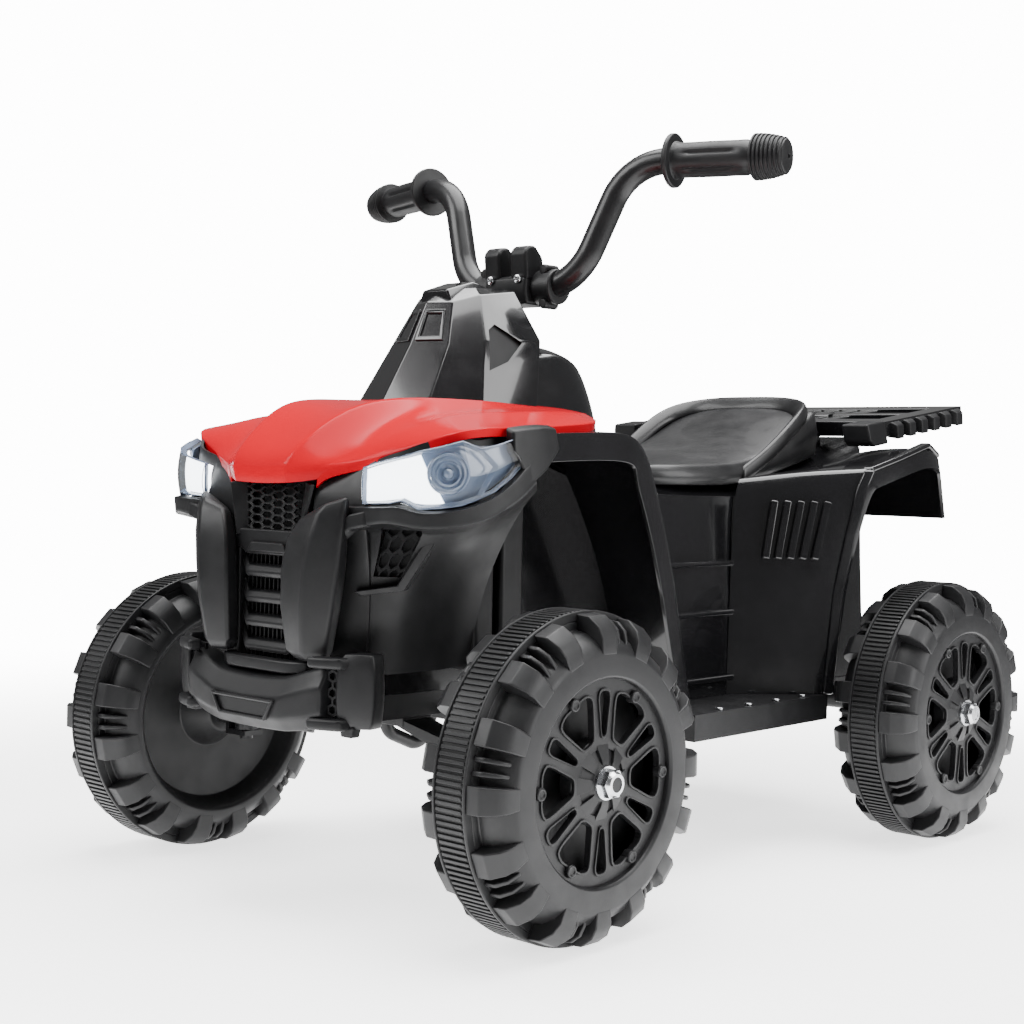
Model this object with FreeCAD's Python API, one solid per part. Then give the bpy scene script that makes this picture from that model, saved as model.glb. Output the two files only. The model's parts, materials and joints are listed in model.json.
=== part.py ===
import FreeCAD, Part
import math
import os
from FreeCAD import Vector

# Kids quad bike. Millimetres, +Z up, front towards -Y, the rider's left is +X.
# The origin is on the ground, in the middle of the length and width.

# Driving sizes
WHEEL_R = 110.0
WHEEL_HALF_WIDTH = 36.0
TRACK_HALF = 199.0
WHEELBASE = 481.0
FRONT_REACH = 116.0
REAR_REACH = 155.0
AXLE_R = 5.0
RUN_CLEAR = 0.1
SEAT_CLEAR = 0.3
PANEL = 3.0
COLUMN_HOLE_R = 16.0
FENDER_FLANGE = 18.0
FENDER_BEND_H = 220.0

LENGTH = FRONT_REACH + WHEELBASE + REAR_REACH
FRONT_Y = FRONT_REACH - LENGTH / 2
REAR_Y = FRONT_Y + WHEELBASE
AXLE_Z = WHEEL_R

# Chassis tray: an inverted pan, heights from the axle line
SILL_BOTTOM = -7.0
FLOOR_TOP = 14.0
SILL_HALF = 150.0
SILL_START = 208.0
SILL_END = 85.0
TAIL_HALF = 92.0
TAIL_END = 72.0
NOSE_HALF = 58.0
NOSE_START = -58.0
NOSE_BOTTOM = 22.0
NOSE_TOP = 40.0

# Wheel
BAND_HALF = 14.2
BAND_T = 6.0
BAND_RIBS = 80
BAND_RIB_DEPTH = 1.6
LUG_PERIODS = 8
LUG_ANGLE = 13.0
LUG_DEPTH = 12.0
RIB_ANGLE = 1.4
RIM_R = 67.0
SPOKE_PAIRS = 6
SPOKE_ANGLE = 9.0
SPOKE_SLOT_ANGLE = 11.0
SPOKE_INNER_R = 26.0
SPOKE_OUTER_R = 58.0
RIM_BOLT_R = 3.4
WHEEL_BORE_R = AXLE_R + RUN_CLEAR
HUB_OUT = 34.5
WASHER_R = 11.0
WASHER_T = 1.5
NUT_FLATS = 17.0
NUT_T = 8.0

# Steering
COLUMN_R = 5.0
BUSH_R = 10.0
BUSH_LENGTH = 12.0
CLAMP_DY = 163.0
CLAMP_H = 344.0
COLUMN_RAKE = 22.8
CRANK_ARM = 45.0
CRANK_BEND_R = 13.0
KINGPIN_X = 135.0
KINGPIN_R = 5.0
EYE_R = 9.5
EYE_HALF = 10.0
YOKE_T = 4.0
YOKE_HALF = 9.0
YOKE_REACH = 15.0
STEER_ARM = 45.0
ARM_PIN_R = 4.0
TIE_ROD_T = 5.0
TIE_ROD_HALF = 9.0
SLOT_CLEAR = 0.8
BEAM_T = 6.0
BEAM_HALF = 14.0

# Handlebar
BAR_R = 10.0
BAR_WALL = 2.0
BAR_BEND_R = 46.0
GRIP_LENGTH = 91.0
GRIP_R = 13.3
GRIP_END_R = 17.2
GRIP_END_LENGTH = 25.0
GRIP_END_WALL = 2.0
GRIP_FLANGE_R = 20.6
GRIP_FLANGE_T = 4.0
GRIP_RIBS = 6
RIB_DEPTH = 1.5
CLAMP_HALF = 33.0
CLAMP_DEPTH = 34.0
CLAMP_SEAT = 14.0
CLAMP_PITCH = 24.0
CAP_WIDTH = 19.0
CAP_DEPTH = 28.0
CAP_TOP = 16.0
SCREW_R = 3.2
SCREW_HEAD = 3.0

# Drive train on the rider's right
GEAR_MODULE = 1.5
WHEEL_TEETH = 48
SMALL_TEETH = 12
MOTOR_MODULE = 1.0
IDLER_TEETH = 48
PINION_TEETH = 12
GEAR_T = 8.0
MOTOR_GEAR_T = 6.0
MOTOR_R = 14.0
MOTOR_LENGTH = 42.0
MOTOR_SHAFT_R = 1.6
HOUSING_WALL = 3.0
IDLER_PITCH = 40.0
IDLER_SHAFT_R = 4.0

# Rack
RACK_HALF = 140.0
RACK_LENGTH = 172.0
RACK_TILT = 8.0
RACK_T = 14.0
RACK_RAIL = 22.0
RACK_SLATS = 5
RACK_REAR_H = 268.0
RACK_DECK = 136.0
RACK_PANEL_HALF = 62.0
RACK_NOTCHES = 5

# Battery and controls
BATTERY = (70.0, 101.0, 94.0)
QUARTER_FRONT = 154.0
FOOTWELL = WHEELBASE - SILL_START - QUARTER_FRONT
PEDAL_SIZE = (42.0, FOOTWELL * 0.555, 5.0)
PEDAL_AXLE_SHARE = 0.773
PEDAL_TILT = 14.0
BUTTON_R = 8.0
BUTTON_TRAVEL = 3.0
ROCKER = (13.0, 19.0, 8.0)
SOCKET_R = 9.0
ROCKER_PIN_R = 1.0
CONTROL_PITCH = 26.0
CONTROL_ALONG = 220.0
PEDAL_AXLE_H = 5.0
PEDAL_PIN_R = 2.0
PEDAL_EAR = 5.0
PEDAL_RIBS = 5
SILL_SCREWS = 4

# Front trim, heights from the axle line
FASCIA_STRIPS = ((180, 196, 80), (142, 156, 80), (54, 68, 72))
STRIP_HALF = 47.0
GRILLE_SETBACK = 81.0
GRILLE_HALF = 41.0
GRILLE_T = 3.0
HEX_SIZE = 5.6
HEX_PITCH = 12.0
LOUVRES = 4
LOUVRE_HALF = 35.0
LOUVRE_FINS = 12
LENS_T = 2.0
REFLECTOR_T = 9.0
LAMP_PLACE = (122, -60, 192)
LAMP_DIRECTION = Vector(0.75, -0.65, 0.05)
LAMP_LENGTH = 22.0
LAMP_R = 10.0
INTAKE_PLACE = (93, -58, 142)
INTAKE_OUTLINE = ((-4, 15), (19, 15), (2, -15), (-13, -15))
BLADE_SECTIONS = (
    (72, 33, 58, -103, -98, 12), (90, 29, 70, -107, -98, 12), (125, 29, 78, -109, -98, 12),
    (148, 34, 79, -106, -98, 12), (166, 48, 78, -99, -95, 10), (177, 62, 75, -93, -91, 8))
BLADE_STAY = (44, 54, 84, 160)
BUMPER_SECTIONS = (
    (-101, -88, -77, 30, 74), (-64, -108, -86, 22, 71), (-34, -FRONT_REACH, -90, 19, 68),
    (34, -FRONT_REACH, -90, 19, 68), (64, -108, -86, 22, 71), (101, -88, -77, 30, 74))


def front(x, along, height):
    return Vector(x, FRONT_Y + along, AXLE_Z + height)


def rear(x, along, height):
    return Vector(x, REAR_Y + along, AXLE_Z + height)


def middle(x, share, height):
    """Point at a share of the wheelbase behind the front axle."""
    return front(x, share * WHEELBASE, height)


def mirror(shape):
    return shape.mirror(Vector(0, 0, 0), Vector(1, 0, 0))


def mirrored_point(p):
    return Vector(-p.x, p.y, p.z)


def whole_rows(half_rows):
    """Rows given from the middle outwards become rows from right edge to left edge."""
    return [[mirrored_point(p) for p in reversed(row[1:])] + list(row) for row in half_rows]


def block(x0, x1, y0, y1, z0, z1):
    return Part.makeBox(x1 - x0, y1 - y0, z1 - z0, Vector(x0, y0, z0))


def rod(start, end, radius):
    span = end - start
    return Part.makeCylinder(radius, span.Length, start, span)


def tube(start, end, outer, inner):
    return rod(start, end, outer).cut(rod(start, end, inner))


def fused(shapes):
    return shapes[0].multiFuse(shapes[1:]).removeSplitter()


def largest(shape):
    return max(shape.Solids, key=lambda solid: solid.Volume)


def trimmed(shape, *others):
    """The main solid that is left when the neighbours are cut away."""
    return largest(shape.cut(list(others)))


def loft(sections):
    wires = [Part.makePolygon(list(s) + [s[0]]) for s in sections]
    return Part.makeLoft(wires, True, True)


def prism(outline, direction):
    return Part.Face(Part.makePolygon(list(outline) + [outline[0]])).extrude(direction)


def quad_faces(a, b, c, d):
    faces = []
    for corner in ((a, b, c), (a, c, d)):
        if (corner[1] - corner[0]).cross(corner[2] - corner[0]).Length > 1e-6:
            faces.append(Part.Face(Part.makePolygon(list(corner) + [corner[0]])))
    return faces


def closed_solid(faces):
    solid = Part.makeSolid(Part.makeShell(faces))
    if solid.Volume < 0:
        solid.reverse()
    return solid


def grid_normal(rows, i, j):
    last_row = len(rows) - 1
    last_col = len(rows[0]) - 1
    along = rows[min(i + 1, last_row)][j] - rows[max(i - 1, 0)][j]
    across = rows[i][min(j + 1, last_col)] - rows[i][max(j - 1, 0)]
    return across.cross(along).normalize()


def shell_panel(rows, wall):
    """A moulded panel: a grid of points on the outer face, backed by a wall of even thickness."""
    rows_n = len(rows)
    cols_n = len(rows[0])
    back = [[rows[i][j] - grid_normal(rows, i, j) * wall for j in range(cols_n)] for i in range(rows_n)]
    faces = []
    for i in range(rows_n - 1):
        for j in range(cols_n - 1):
            faces += quad_faces(rows[i][j], rows[i][j + 1], rows[i + 1][j + 1], rows[i + 1][j])
            faces += quad_faces(back[i][j], back[i + 1][j], back[i + 1][j + 1], back[i][j + 1])
    for i in range(rows_n - 1):
        faces += quad_faces(rows[i][0], rows[i + 1][0], back[i + 1][0], back[i][0])
        faces += quad_faces(rows[i + 1][-1], rows[i][-1], back[i][-1], back[i + 1][-1])
    for j in range(cols_n - 1):
        faces += quad_faces(rows[0][j + 1], rows[0][j], back[0][j], back[0][j + 1])
        faces += quad_faces(rows[-1][j], rows[-1][j + 1], back[-1][j + 1], back[-1][j])
    return closed_solid(faces)


def toothed_outline(teeth, tip_r, root_r, tip_share, root_share):
    """Closed outline of trapezoid teeth in the YZ plane; the first tooth points along +Y."""
    pitch = 2 * math.pi / teeth
    points = []
    for k in range(teeth):
        for share, radius in ((-root_share, root_r), (-tip_share, tip_r),
                              (tip_share, tip_r), (root_share, root_r)):
            angle = (k + share / 2) * pitch
            points.append(Vector(0, radius * math.cos(angle), radius * math.sin(angle)))
    return points


def hex_holes(centre, across, up, size, pitch, columns, rows, depth):
    """Hexagonal prisms on a staggered grid, to be cut out of a mesh panel."""
    normal = across.cross(up)
    holes = []
    for row in range(rows):
        for col in range(columns):
            shift = 0.5 if row % 2 else 0.0
            u = (col - (columns - 1) / 2 + shift - 0.25) * pitch
            v = (row - (rows - 1) / 2) * pitch * math.sqrt(3) / 2
            middle = centre + across * u + up * v - normal * depth
            outline = []
            for k in range(6):
                angle = math.radians(60 * k + 30)
                outline.append(middle + (across * math.cos(angle) + up * math.sin(angle)) * size)
            holes.append(prism(outline, normal * depth * 2))
    return holes


# Wheels
def sector(profile, start, angle):
    """A slice of a ring about the X axis, from (x, radius) points."""
    face = Part.Face(Part.makePolygon([Vector(x, r, 0) for x, r in profile + [profile[0]]]))
    face.rotate(Vector(0, 0, 0), Vector(1, 0, 0), start)
    return face.revolve(Vector(0, 0, 0), Vector(1, 0, 0), angle)


def lugs(side):
    """Tread blocks of one half; side is +1 outwards, -1 inwards."""
    top = WHEEL_R
    floor = WHEEL_R - LUG_DEPTH
    edge = WHEEL_HALF_WIDTH
    block_profile = [(BAND_HALF, top), (edge - 9, top), (edge - 1.5, top - 9), (edge - 0.5, floor - 9),
                     (edge - 5, floor - 9), (BAND_HALF, floor - 3)]
    rib_profile = [(BAND_HALF, top - 4), (edge - 12, top - 4), (edge - 5, top - 13),
                   (edge - 6, floor - 7), (BAND_HALF, floor - 3)]
    step = 360.0 / LUG_PERIODS
    pieces = []
    for k in range(LUG_PERIODS):
        middle = k * step - 90
        for offset in (-step / 4, step / 4):
            start = middle + offset - LUG_ANGLE / 2
            pieces.append(sector([(side * x, r) for x, r in block_profile], start, LUG_ANGLE))
        for offset in (-2.2, 2.2):
            start = middle + offset - RIB_ANGLE / 2
            pieces.append(sector([(side * x, r) for x, r in rib_profile], start, RIB_ANGLE))
    return pieces


def wheel_outer_half():
    barrel = WHEEL_R - BAND_T
    floor = WHEEL_R - LUG_DEPTH
    edge = WHEEL_HALF_WIDTH
    profile = [(0, barrel), (BAND_HALF, barrel), (BAND_HALF, floor), (edge - 4, floor - 6),
               (edge, floor - 12), (edge, RIM_R + 2), (edge - 3, RIM_R - 1), (edge - 8, RIM_R - 3.5),
               (edge - 8, 24), (HUB_OUT - 1, 15), (HUB_OUT, 12), (HUB_OUT, WHEEL_BORE_R),
               (0, WHEEL_BORE_R), (0, 11), (edge - 12, 13), (edge - 11.5, RIM_R - 7),
               (edge - 6, RIM_R - 0.5), (edge - 4, RIM_R + 3), (edge - 4, floor - 13),
               (edge - 7, floor - 9), (BAND_HALF - 3, floor - 4), (BAND_HALF - 3, barrel - 3.5),
               (0, barrel - 3.5)]
    body = sector(profile, 0, 360)
    bolts = []
    windows = []
    pair = 360.0 / SPOKE_PAIRS
    gap = pair - 2 * SPOKE_ANGLE - SPOKE_SLOT_ANGLE
    face_out = edge - 4
    face_in = edge - 16
    window = [(face_in, SPOKE_INNER_R), (face_out, SPOKE_INNER_R),
              (face_out, SPOKE_OUTER_R), (face_in, SPOKE_OUTER_R)]
    for k in range(SPOKE_PAIRS):
        windows.append(sector(window, k * pair - SPOKE_SLOT_ANGLE / 2, SPOKE_SLOT_ANGLE))
        windows.append(sector(window, (k + 0.5) * pair - gap / 2, gap))
        angle = math.radians(k * pair)
        r = RIM_R - 5.5
        base = Vector(edge - 11, r * math.cos(angle), r * math.sin(angle))
        bolts.append(rod(base, base + Vector(6, 0, 0), RIM_BOLT_R))
    return fused([body] + lugs(1) + bolts).cut(windows)


def wheel_inner_half():
    barrel = WHEEL_R - BAND_T
    floor = WHEEL_R - LUG_DEPTH
    edge = WHEEL_HALF_WIDTH
    profile = [(0, barrel), (-BAND_HALF, barrel), (-BAND_HALF, floor), (-edge + 4, floor - 6),
               (-edge, floor - 12), (-edge, 78), (-edge + 3, 75), (-18, 70), (-15, 28), (-edge, 15),
               (-edge, WHEEL_BORE_R), (0, WHEEL_BORE_R), (0, 11), (-11, 24), (-14, 73),
               (-edge + 4, 79), (-edge + 4, floor - 13), (-edge + 7, floor - 9),
               (-BAND_HALF + 3, floor - 4), (-BAND_HALF + 3, barrel - 3.5), (0, barrel - 3.5)]
    return fused([sector(profile, 0, 360)] + lugs(-1))


def tread_band():
    outline = toothed_outline(BAND_RIBS, WHEEL_R, WHEEL_R - BAND_RIB_DEPTH, 0.5, 0.62)
    ring = prism(outline, Vector(2 * BAND_HALF, 0, 0))
    hole = rod(Vector(-1, 0, 0), Vector(2 * BAND_HALF + 1, 0, 0), WHEEL_R - BAND_T)
    ring = ring.cut(hole)
    ring.translate(Vector(-BAND_HALF, 0, 0))
    return ring


def hub_nut():
    """Washer and lock nut, seated outside the hub at the wheel's middle plane."""
    start = Vector(HUB_OUT + RUN_CLEAR, 0, 0)
    mid = start + Vector(WASHER_T, 0, 0)
    outline = []
    for k in range(6):
        angle = math.radians(60 * k)
        r = NUT_FLATS / math.sqrt(3)
        outline.append(mid + Vector(0, r * math.cos(angle), r * math.sin(angle)))
    nut = prism(outline, Vector(NUT_T * 0.72, 0, 0))
    collar_start = mid + Vector(NUT_T * 0.72, 0, 0)
    collar = Part.makeCone(NUT_FLATS / 2, NUT_FLATS / 2 - 1.5, NUT_T * 0.28, collar_start, Vector(1, 0, 0))
    bore = rod(Vector(0, 0, 0), Vector(HUB_OUT + 30, 0, 0), AXLE_R)
    return fused([rod(start, mid, WASHER_R), nut, collar]).cut(bore)


NUT_END = HUB_OUT + RUN_CLEAR + WASHER_T + NUT_T


def place_wheel(shape, x_side, y):
    placed = shape.copy() if x_side > 0 else mirror(shape)
    placed.translate(Vector(x_side * TRACK_HALF, y, AXLE_Z))
    return placed


# Steering line: the column's axis leans back with the rake
RAKE = math.radians(COLUMN_RAKE)
COLUMN_UP = Vector(0, math.sin(RAKE), math.cos(RAKE))
COLUMN_BACK = Vector(0, math.cos(RAKE), -math.sin(RAKE))
CLAMP_POINT = front(0, CLAMP_DY, CLAMP_H)
COLUMN_TOP = CLAMP_POINT - COLUMN_UP * (BAR_R + CLAMP_SEAT / 3)


def on_column(height):
    """Point of the column's axis at a height above the axle line."""
    return CLAMP_POINT + COLUMN_UP * ((AXLE_Z + height - CLAMP_POINT.z) / COLUMN_UP.z)


ARM_TOP = EYE_HALF + 0.5 + YOKE_T
TIE_BOTTOM = ARM_TOP + 1.2
TIE_TOP = TIE_BOTTOM + TIE_ROD_T
CRANK_LOW = 4.0
CRANK_PIN_H = TIE_TOP + 5.0


def crank_pin_at(height):
    """Point of the crank pin's axis, which is parallel to the column."""
    offset = on_column(0) + COLUMN_BACK * CRANK_ARM
    return offset + COLUMN_UP * ((AXLE_Z + height - offset.z) / COLUMN_UP.z)


def steering_column():
    top = COLUMN_TOP
    low = on_column(CRANK_LOW)
    turn = CRANK_BEND_R
    a = low + COLUMN_UP * turn
    b = low + COLUMN_BACK * turn
    c = low + COLUMN_BACK * (CRANK_ARM - turn)
    corner = low + COLUMN_BACK * CRANK_ARM
    d = corner + COLUMN_UP * turn
    pin_end = crank_pin_at(CRANK_PIN_H)
    root = turn * (1 - math.sqrt(0.5))
    mid1 = low + (COLUMN_UP + COLUMN_BACK) * root
    mid2 = corner + (COLUMN_UP - COLUMN_BACK) * root
    path = Part.Wire([Part.LineSegment(top, a).toShape(), Part.Arc(a, mid1, b).toShape(),
                      Part.LineSegment(b, c).toShape(), Part.Arc(c, mid2, d).toShape(),
                      Part.LineSegment(d, pin_end).toShape()])
    ring = Part.Wire(Part.makeCircle(COLUMN_R, top, COLUMN_UP))
    return path.makePipeShell([ring], True, True)


def column_hole(radius):
    """Straight hole along the column's line, through whatever stands in its way."""
    return rod(on_column(0), CLAMP_POINT, radius)


def steering_bushes():
    """Two bushes that carry the column in the tray and under the pod."""
    pieces = []
    for height in (NOSE_TOP - PANEL / 2, DECK_FRONT_H - PANEL / 2):
        middle = on_column(height)
        reach = COLUMN_UP * (BUSH_LENGTH / 2)
        pieces.append(tube(middle - reach, middle + reach, BUSH_R, COLUMN_R + RUN_CLEAR))
    return pieces


def front_axle_beam():
    """Flat beam under the tray, with an upright eye at each end for the kingpin."""
    half = BEAM_HALF
    plate = block(-NOSE_HALF, NOSE_HALF, FRONT_Y - half, FRONT_Y + half,
                  AXLE_Z + NOSE_BOTTOM - BEAM_T, AXLE_Z + NOSE_BOTTOM)
    pieces = [plate]
    cuts = []
    for side in (-1, 1):
        pin = side * KINGPIN_X
        inner = side * (NOSE_HALF - 6)
        outer = pin - side * (YOKE_REACH + 2)
        low = AXLE_Z - BEAM_T
        pieces.append(loft([
            [Vector(inner, FRONT_Y + s * half, AXLE_Z + z)
             for s, z in ((-1, NOSE_BOTTOM - BEAM_T), (1, NOSE_BOTTOM - BEAM_T),
                          (1, NOSE_BOTTOM), (-1, NOSE_BOTTOM))],
            [Vector(outer, FRONT_Y + s * (EYE_R - 1.5), z)
             for s, z in ((-1, low), (1, low), (1, AXLE_Z + BEAM_T), (-1, AXLE_Z + BEAM_T))]]))
        pieces.append(block(min(outer, pin), max(outer, pin), FRONT_Y - EYE_R + 1.5, FRONT_Y + EYE_R - 1.5,
                            low, AXLE_Z + BEAM_T))
        foot = Vector(pin, FRONT_Y, AXLE_Z - EYE_HALF)
        head = Vector(pin, FRONT_Y, AXLE_Z + EYE_HALF)
        pieces.append(rod(foot, head, EYE_R))
        cuts.append(rod(foot, head, KINGPIN_R + RUN_CLEAR))
    return fused(pieces).cut(cuts)


def knuckle():
    """Left steering knuckle: yoke, kingpin, stub axle and steering arm."""
    gap = EYE_HALF + 0.5
    x0 = KINGPIN_X - YOKE_HALF
    x1 = KINGPIN_X + YOKE_REACH
    web = block(x1 - YOKE_T, x1, FRONT_Y - YOKE_HALF, FRONT_Y + YOKE_HALF,
                AXLE_Z - gap - YOKE_T, AXLE_Z + gap + YOKE_T)
    pieces = [web]
    for side in (-1, 1):
        low = AXLE_Z + side * gap - (YOKE_T if side < 0 else 0)
        pieces.append(block(x0, x1, FRONT_Y - YOKE_HALF, FRONT_Y + YOKE_HALF, low, low + YOKE_T))
    pieces.append(rod(Vector(KINGPIN_X, FRONT_Y, AXLE_Z - gap - YOKE_T - 3),
                      Vector(KINGPIN_X, FRONT_Y, AXLE_Z + gap + YOKE_T + 2), KINGPIN_R))
    arm_top = AXLE_Z + ARM_TOP
    pieces.append(block(KINGPIN_X - 7, KINGPIN_X + 7, FRONT_Y, FRONT_Y + STEER_ARM + 7,
                        arm_top - YOKE_T, arm_top))
    pieces.append(rod(Vector(KINGPIN_X, FRONT_Y + STEER_ARM, arm_top - YOKE_T),
                      Vector(KINGPIN_X, FRONT_Y + STEER_ARM, AXLE_Z + TIE_TOP + 4), ARM_PIN_R))
    shoulder = TRACK_HALF - WHEEL_HALF_WIDTH - RUN_CLEAR
    pieces.append(rod(Vector(x1 - 1, FRONT_Y, AXLE_Z), Vector(shoulder, FRONT_Y, AXLE_Z), AXLE_R + 4))
    pieces.append(rod(Vector(x1 - 1, FRONT_Y, AXLE_Z),
                      Vector(TRACK_HALF + NUT_END - 0.5, FRONT_Y, AXLE_Z), AXLE_R))
    return fused(pieces)


def tie_rod():
    """Flat bar behind the axle, with slots for the arm pins and for the crank pin."""
    y = FRONT_Y + STEER_ARM
    z0 = AXLE_Z + TIE_BOTTOM
    reach = KINGPIN_X + 12
    pin = crank_pin_at(TIE_BOTTOM + TIE_ROD_T / 2)
    bar = block(-reach, reach, y - TIE_ROD_HALF, y + TIE_ROD_HALF, z0, z0 + TIE_ROD_T)
    tab = block(-16, 16, y, pin.y + 17, z0, z0 + TIE_ROD_T)
    cuts = []
    for x in (-KINGPIN_X, KINGPIN_X):
        half = ARM_PIN_R + SLOT_CLEAR
        cuts.append(block(x - half, x + half, y - half - 3.5, y + half + 1, z0 - 1, z0 + TIE_ROD_T + 1))
    half = COLUMN_R + SLOT_CLEAR
    lean = COLUMN_R / math.cos(RAKE) + TIE_ROD_T * math.tan(RAKE) / 2 + 1.2
    cuts.append(block(-half, half, pin.y - lean - 4, pin.y + lean + 1, z0 - 1, z0 + TIE_ROD_T + 1))
    return fused([bar, tab]).cut(cuts)


# Handlebar
BAR_POINTS = ((0, 0, 0), (58, 0, 0), (95, 17.5, 94), (218, 46, 90.5))


def bar_point(point):
    x, back, up = point
    return CLAMP_POINT + Vector(x, back, up)


def bar_bend(before, corner, after, radius):
    """Bent piece of the bar round one corner, with the points where it starts and ends."""
    d1 = (before - corner).normalize()
    d2 = (after - corner).normalize()
    half = math.acos(d1.dot(d2)) / 2
    reach = BAR_BEND_R / math.tan(half)
    start = corner + d1 * reach
    centre = corner + (d1 + d2).normalize() * (BAR_BEND_R / math.sin(half))
    disc = Part.Face(Part.Wire(Part.makeCircle(radius, start, d1)))
    bend = disc.revolve(centre, d2.cross(d1), 180 - math.degrees(2 * half))
    return start, bend, corner + d2 * reach


def bar_solid(radius):
    """The whole bar as one round solid: a straight middle and two bends on each side."""
    points = [bar_point(p) for p in BAR_POINTS]
    pieces = []
    here = None
    for before, corner, after in zip(points, points[1:], points[2:]):
        start, bend, end = bar_bend(before, corner, after, radius)
        if here is None:
            middle = rod(mirrored_point(start), start, radius)
        else:
            pieces.append(rod(here, start, radius))
        pieces.append(bend)
        here = end
    pieces.append(rod(here, points[-1], radius))
    return fused([middle] + pieces + [mirror(piece) for piece in pieces])


def handlebar_tube():
    return bar_solid(BAR_R).cut(bar_solid(BAR_R - BAR_WALL))


def grip():
    """Left grip: flange, barrel and a ribbed, rounded end, on the bar's straight end."""
    inner = bar_point(BAR_POINTS[2])
    end = bar_point(BAR_POINTS[3])
    axis = (end - inner).normalize()
    start = end - axis * GRIP_LENGTH
    tip = end - axis * (GRIP_END_LENGTH - GRIP_END_WALL)
    pieces = [rod(start, start + axis * GRIP_FLANGE_T, GRIP_FLANGE_R), rod(start, tip, GRIP_R)]
    pitch = GRIP_END_LENGTH / GRIP_RIBS
    for k in range(GRIP_RIBS):
        rib = tip + axis * (k * pitch)
        radius = GRIP_END_R * math.cos(0.75 * k / GRIP_RIBS)
        pieces.append(rod(rib, rib + axis * pitch, radius - RIB_DEPTH))
        pieces.append(rod(rib, rib + axis * (pitch * 0.6), radius))
    bore = rod(start - axis, end, BAR_R)
    return fused(pieces).cut(bore)


def on_clamp(solid):
    """Turns a solid to the column's rake and puts it on the clamp point."""
    solid.rotate(Vector(0, 0, 0), Vector(1, 0, 0), -COLUMN_RAKE)
    solid.translate(CLAMP_POINT)
    return solid


def clamp_base(bar):
    """Block that carries the bar, on the head of the column."""
    drop = BAR_R + CLAMP_SEAT
    body = on_clamp(block(-CLAMP_HALF, CLAMP_HALF, -CLAMP_DEPTH / 2, CLAMP_DEPTH / 2, -drop, 0))
    socket = rod(CLAMP_POINT - COLUMN_UP * (drop + 1), COLUMN_TOP, COLUMN_R)
    return largest(body.cut([bar, socket]))


def clamp_caps(bar):
    """Two box caps that hold the bar down."""
    caps = []
    for x in (-CLAMP_PITCH / 2, CLAMP_PITCH / 2):
        cap = block(x - CAP_WIDTH / 2, x + CAP_WIDTH / 2, -CAP_DEPTH / 2, CAP_DEPTH / 2,
                    0, BAR_R + CAP_TOP)
        caps.append(largest(on_clamp(cap).cut(bar)))
    return caps


def clamp_screws():
    screws = []
    for x in (-CLAMP_PITCH / 2, CLAMP_PITCH / 2):
        for side in (-1, 1):
            y = side * (CAP_DEPTH / 2 - SCREW_R)
            z = BAR_R + CAP_TOP
            screws.append(on_clamp(rod(Vector(x, y, z), Vector(x, y, z + SCREW_HEAD), SCREW_R)))
    return screws


# Chassis
def pan(x_half, y0, y1, z0, z1):
    """Inverted tray with a top plate and a skirt."""
    outer = block(-x_half, x_half, y0, y1, z0, z1)
    inner = block(-x_half + PANEL, x_half - PANEL, y0 + PANEL, y1 - PANEL, z0 - 1, z1 - PANEL)
    return outer.cut(inner)


def chassis_tray():
    low = AXLE_Z + SILL_BOTTOM
    top = AXLE_Z + FLOOR_TOP
    y0 = FRONT_Y + SILL_START
    y1 = REAR_Y - SILL_END
    y2 = REAR_Y + TAIL_END
    wide = pan(SILL_HALF, y0, y1, low, top)
    tail = pan(TAIL_HALF, y1 - PANEL, y2, low, top)
    nose = pan(NOSE_HALF, FRONT_Y + NOSE_START, y0 + PANEL, AXLE_Z + NOSE_BOTTOM, AXLE_Z + NOSE_TOP)
    step = block(-NOSE_HALF, NOSE_HALF, y0, y0 + PANEL, top - PANEL, AXLE_Z + NOSE_TOP)
    boss_end = TRACK_HALF - WHEEL_HALF_WIDTH - RUN_CLEAR
    boss = rod(Vector(TAIL_HALF - PANEL, REAR_Y, AXLE_Z), Vector(boss_end, REAR_Y, AXLE_Z), AXLE_R + 5)
    web = block(TAIL_HALF - PANEL, TAIL_HALF + 30, REAR_Y - 2, REAR_Y + 2, low, top)
    axle = rod(Vector(-TRACK_HALF, REAR_Y, AXLE_Z), Vector(TRACK_HALF, REAR_Y, AXLE_Z), AXLE_R)
    solids = [wide, tail, nose, step, boss, web] + pedal_ears()
    return fused(solids).cut([axle, column_hole(BUSH_R), pedal_axle(RUN_CLEAR)])


# Body panels: outlines as points across, along and above the axle line
DECK_H = 190.0
DECK_FRONT_H = 220.0
BODY_ROWS = (
    ("front", ((0, -66, 150), (30, -66, 150), (50, -62, 140), (54, -62, 90), (56, -60, NOSE_TOP))),
    ("front", ((0, 0, 214), (36, 0, 214), (58, 0, 200), (62, 0, 110), (62, 0, NOSE_TOP))),
    ("front", ((0, 120, DECK_FRONT_H), (40, 120, DECK_FRONT_H), (62, 120, 205), (66, 120, 110),
               (66, 120, NOSE_TOP))),
    ("front", ((0, 188, DECK_H), (44, 188, DECK_H), (72, 190, 182), (84, 198, 100), (88, 212, FLOOR_TOP))),
    ("rear", ((0, -120, DECK_H), (60, -120, DECK_H), (84, -130, 180), (90, -140, 100),
              (94, -150, FLOOR_TOP))),
    ("rear", ((0, -20, 214), (64, -20, 214), (84, -20, 204), (90, -20, 110), (91, -20, FLOOR_TOP))),
    ("rear", ((0, 68, 236), (64, 68, 236), (82, 68, 226), (86, 68, 120), (90, 68, FLOOR_TOP))),
    ("rear", ((0, 71, FLOOR_TOP), (20, 71, FLOOR_TOP), (44, 71, FLOOR_TOP), (68, 71, FLOOR_TOP),
              (90, 71, FLOOR_TOP - 0.5))),
)
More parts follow.
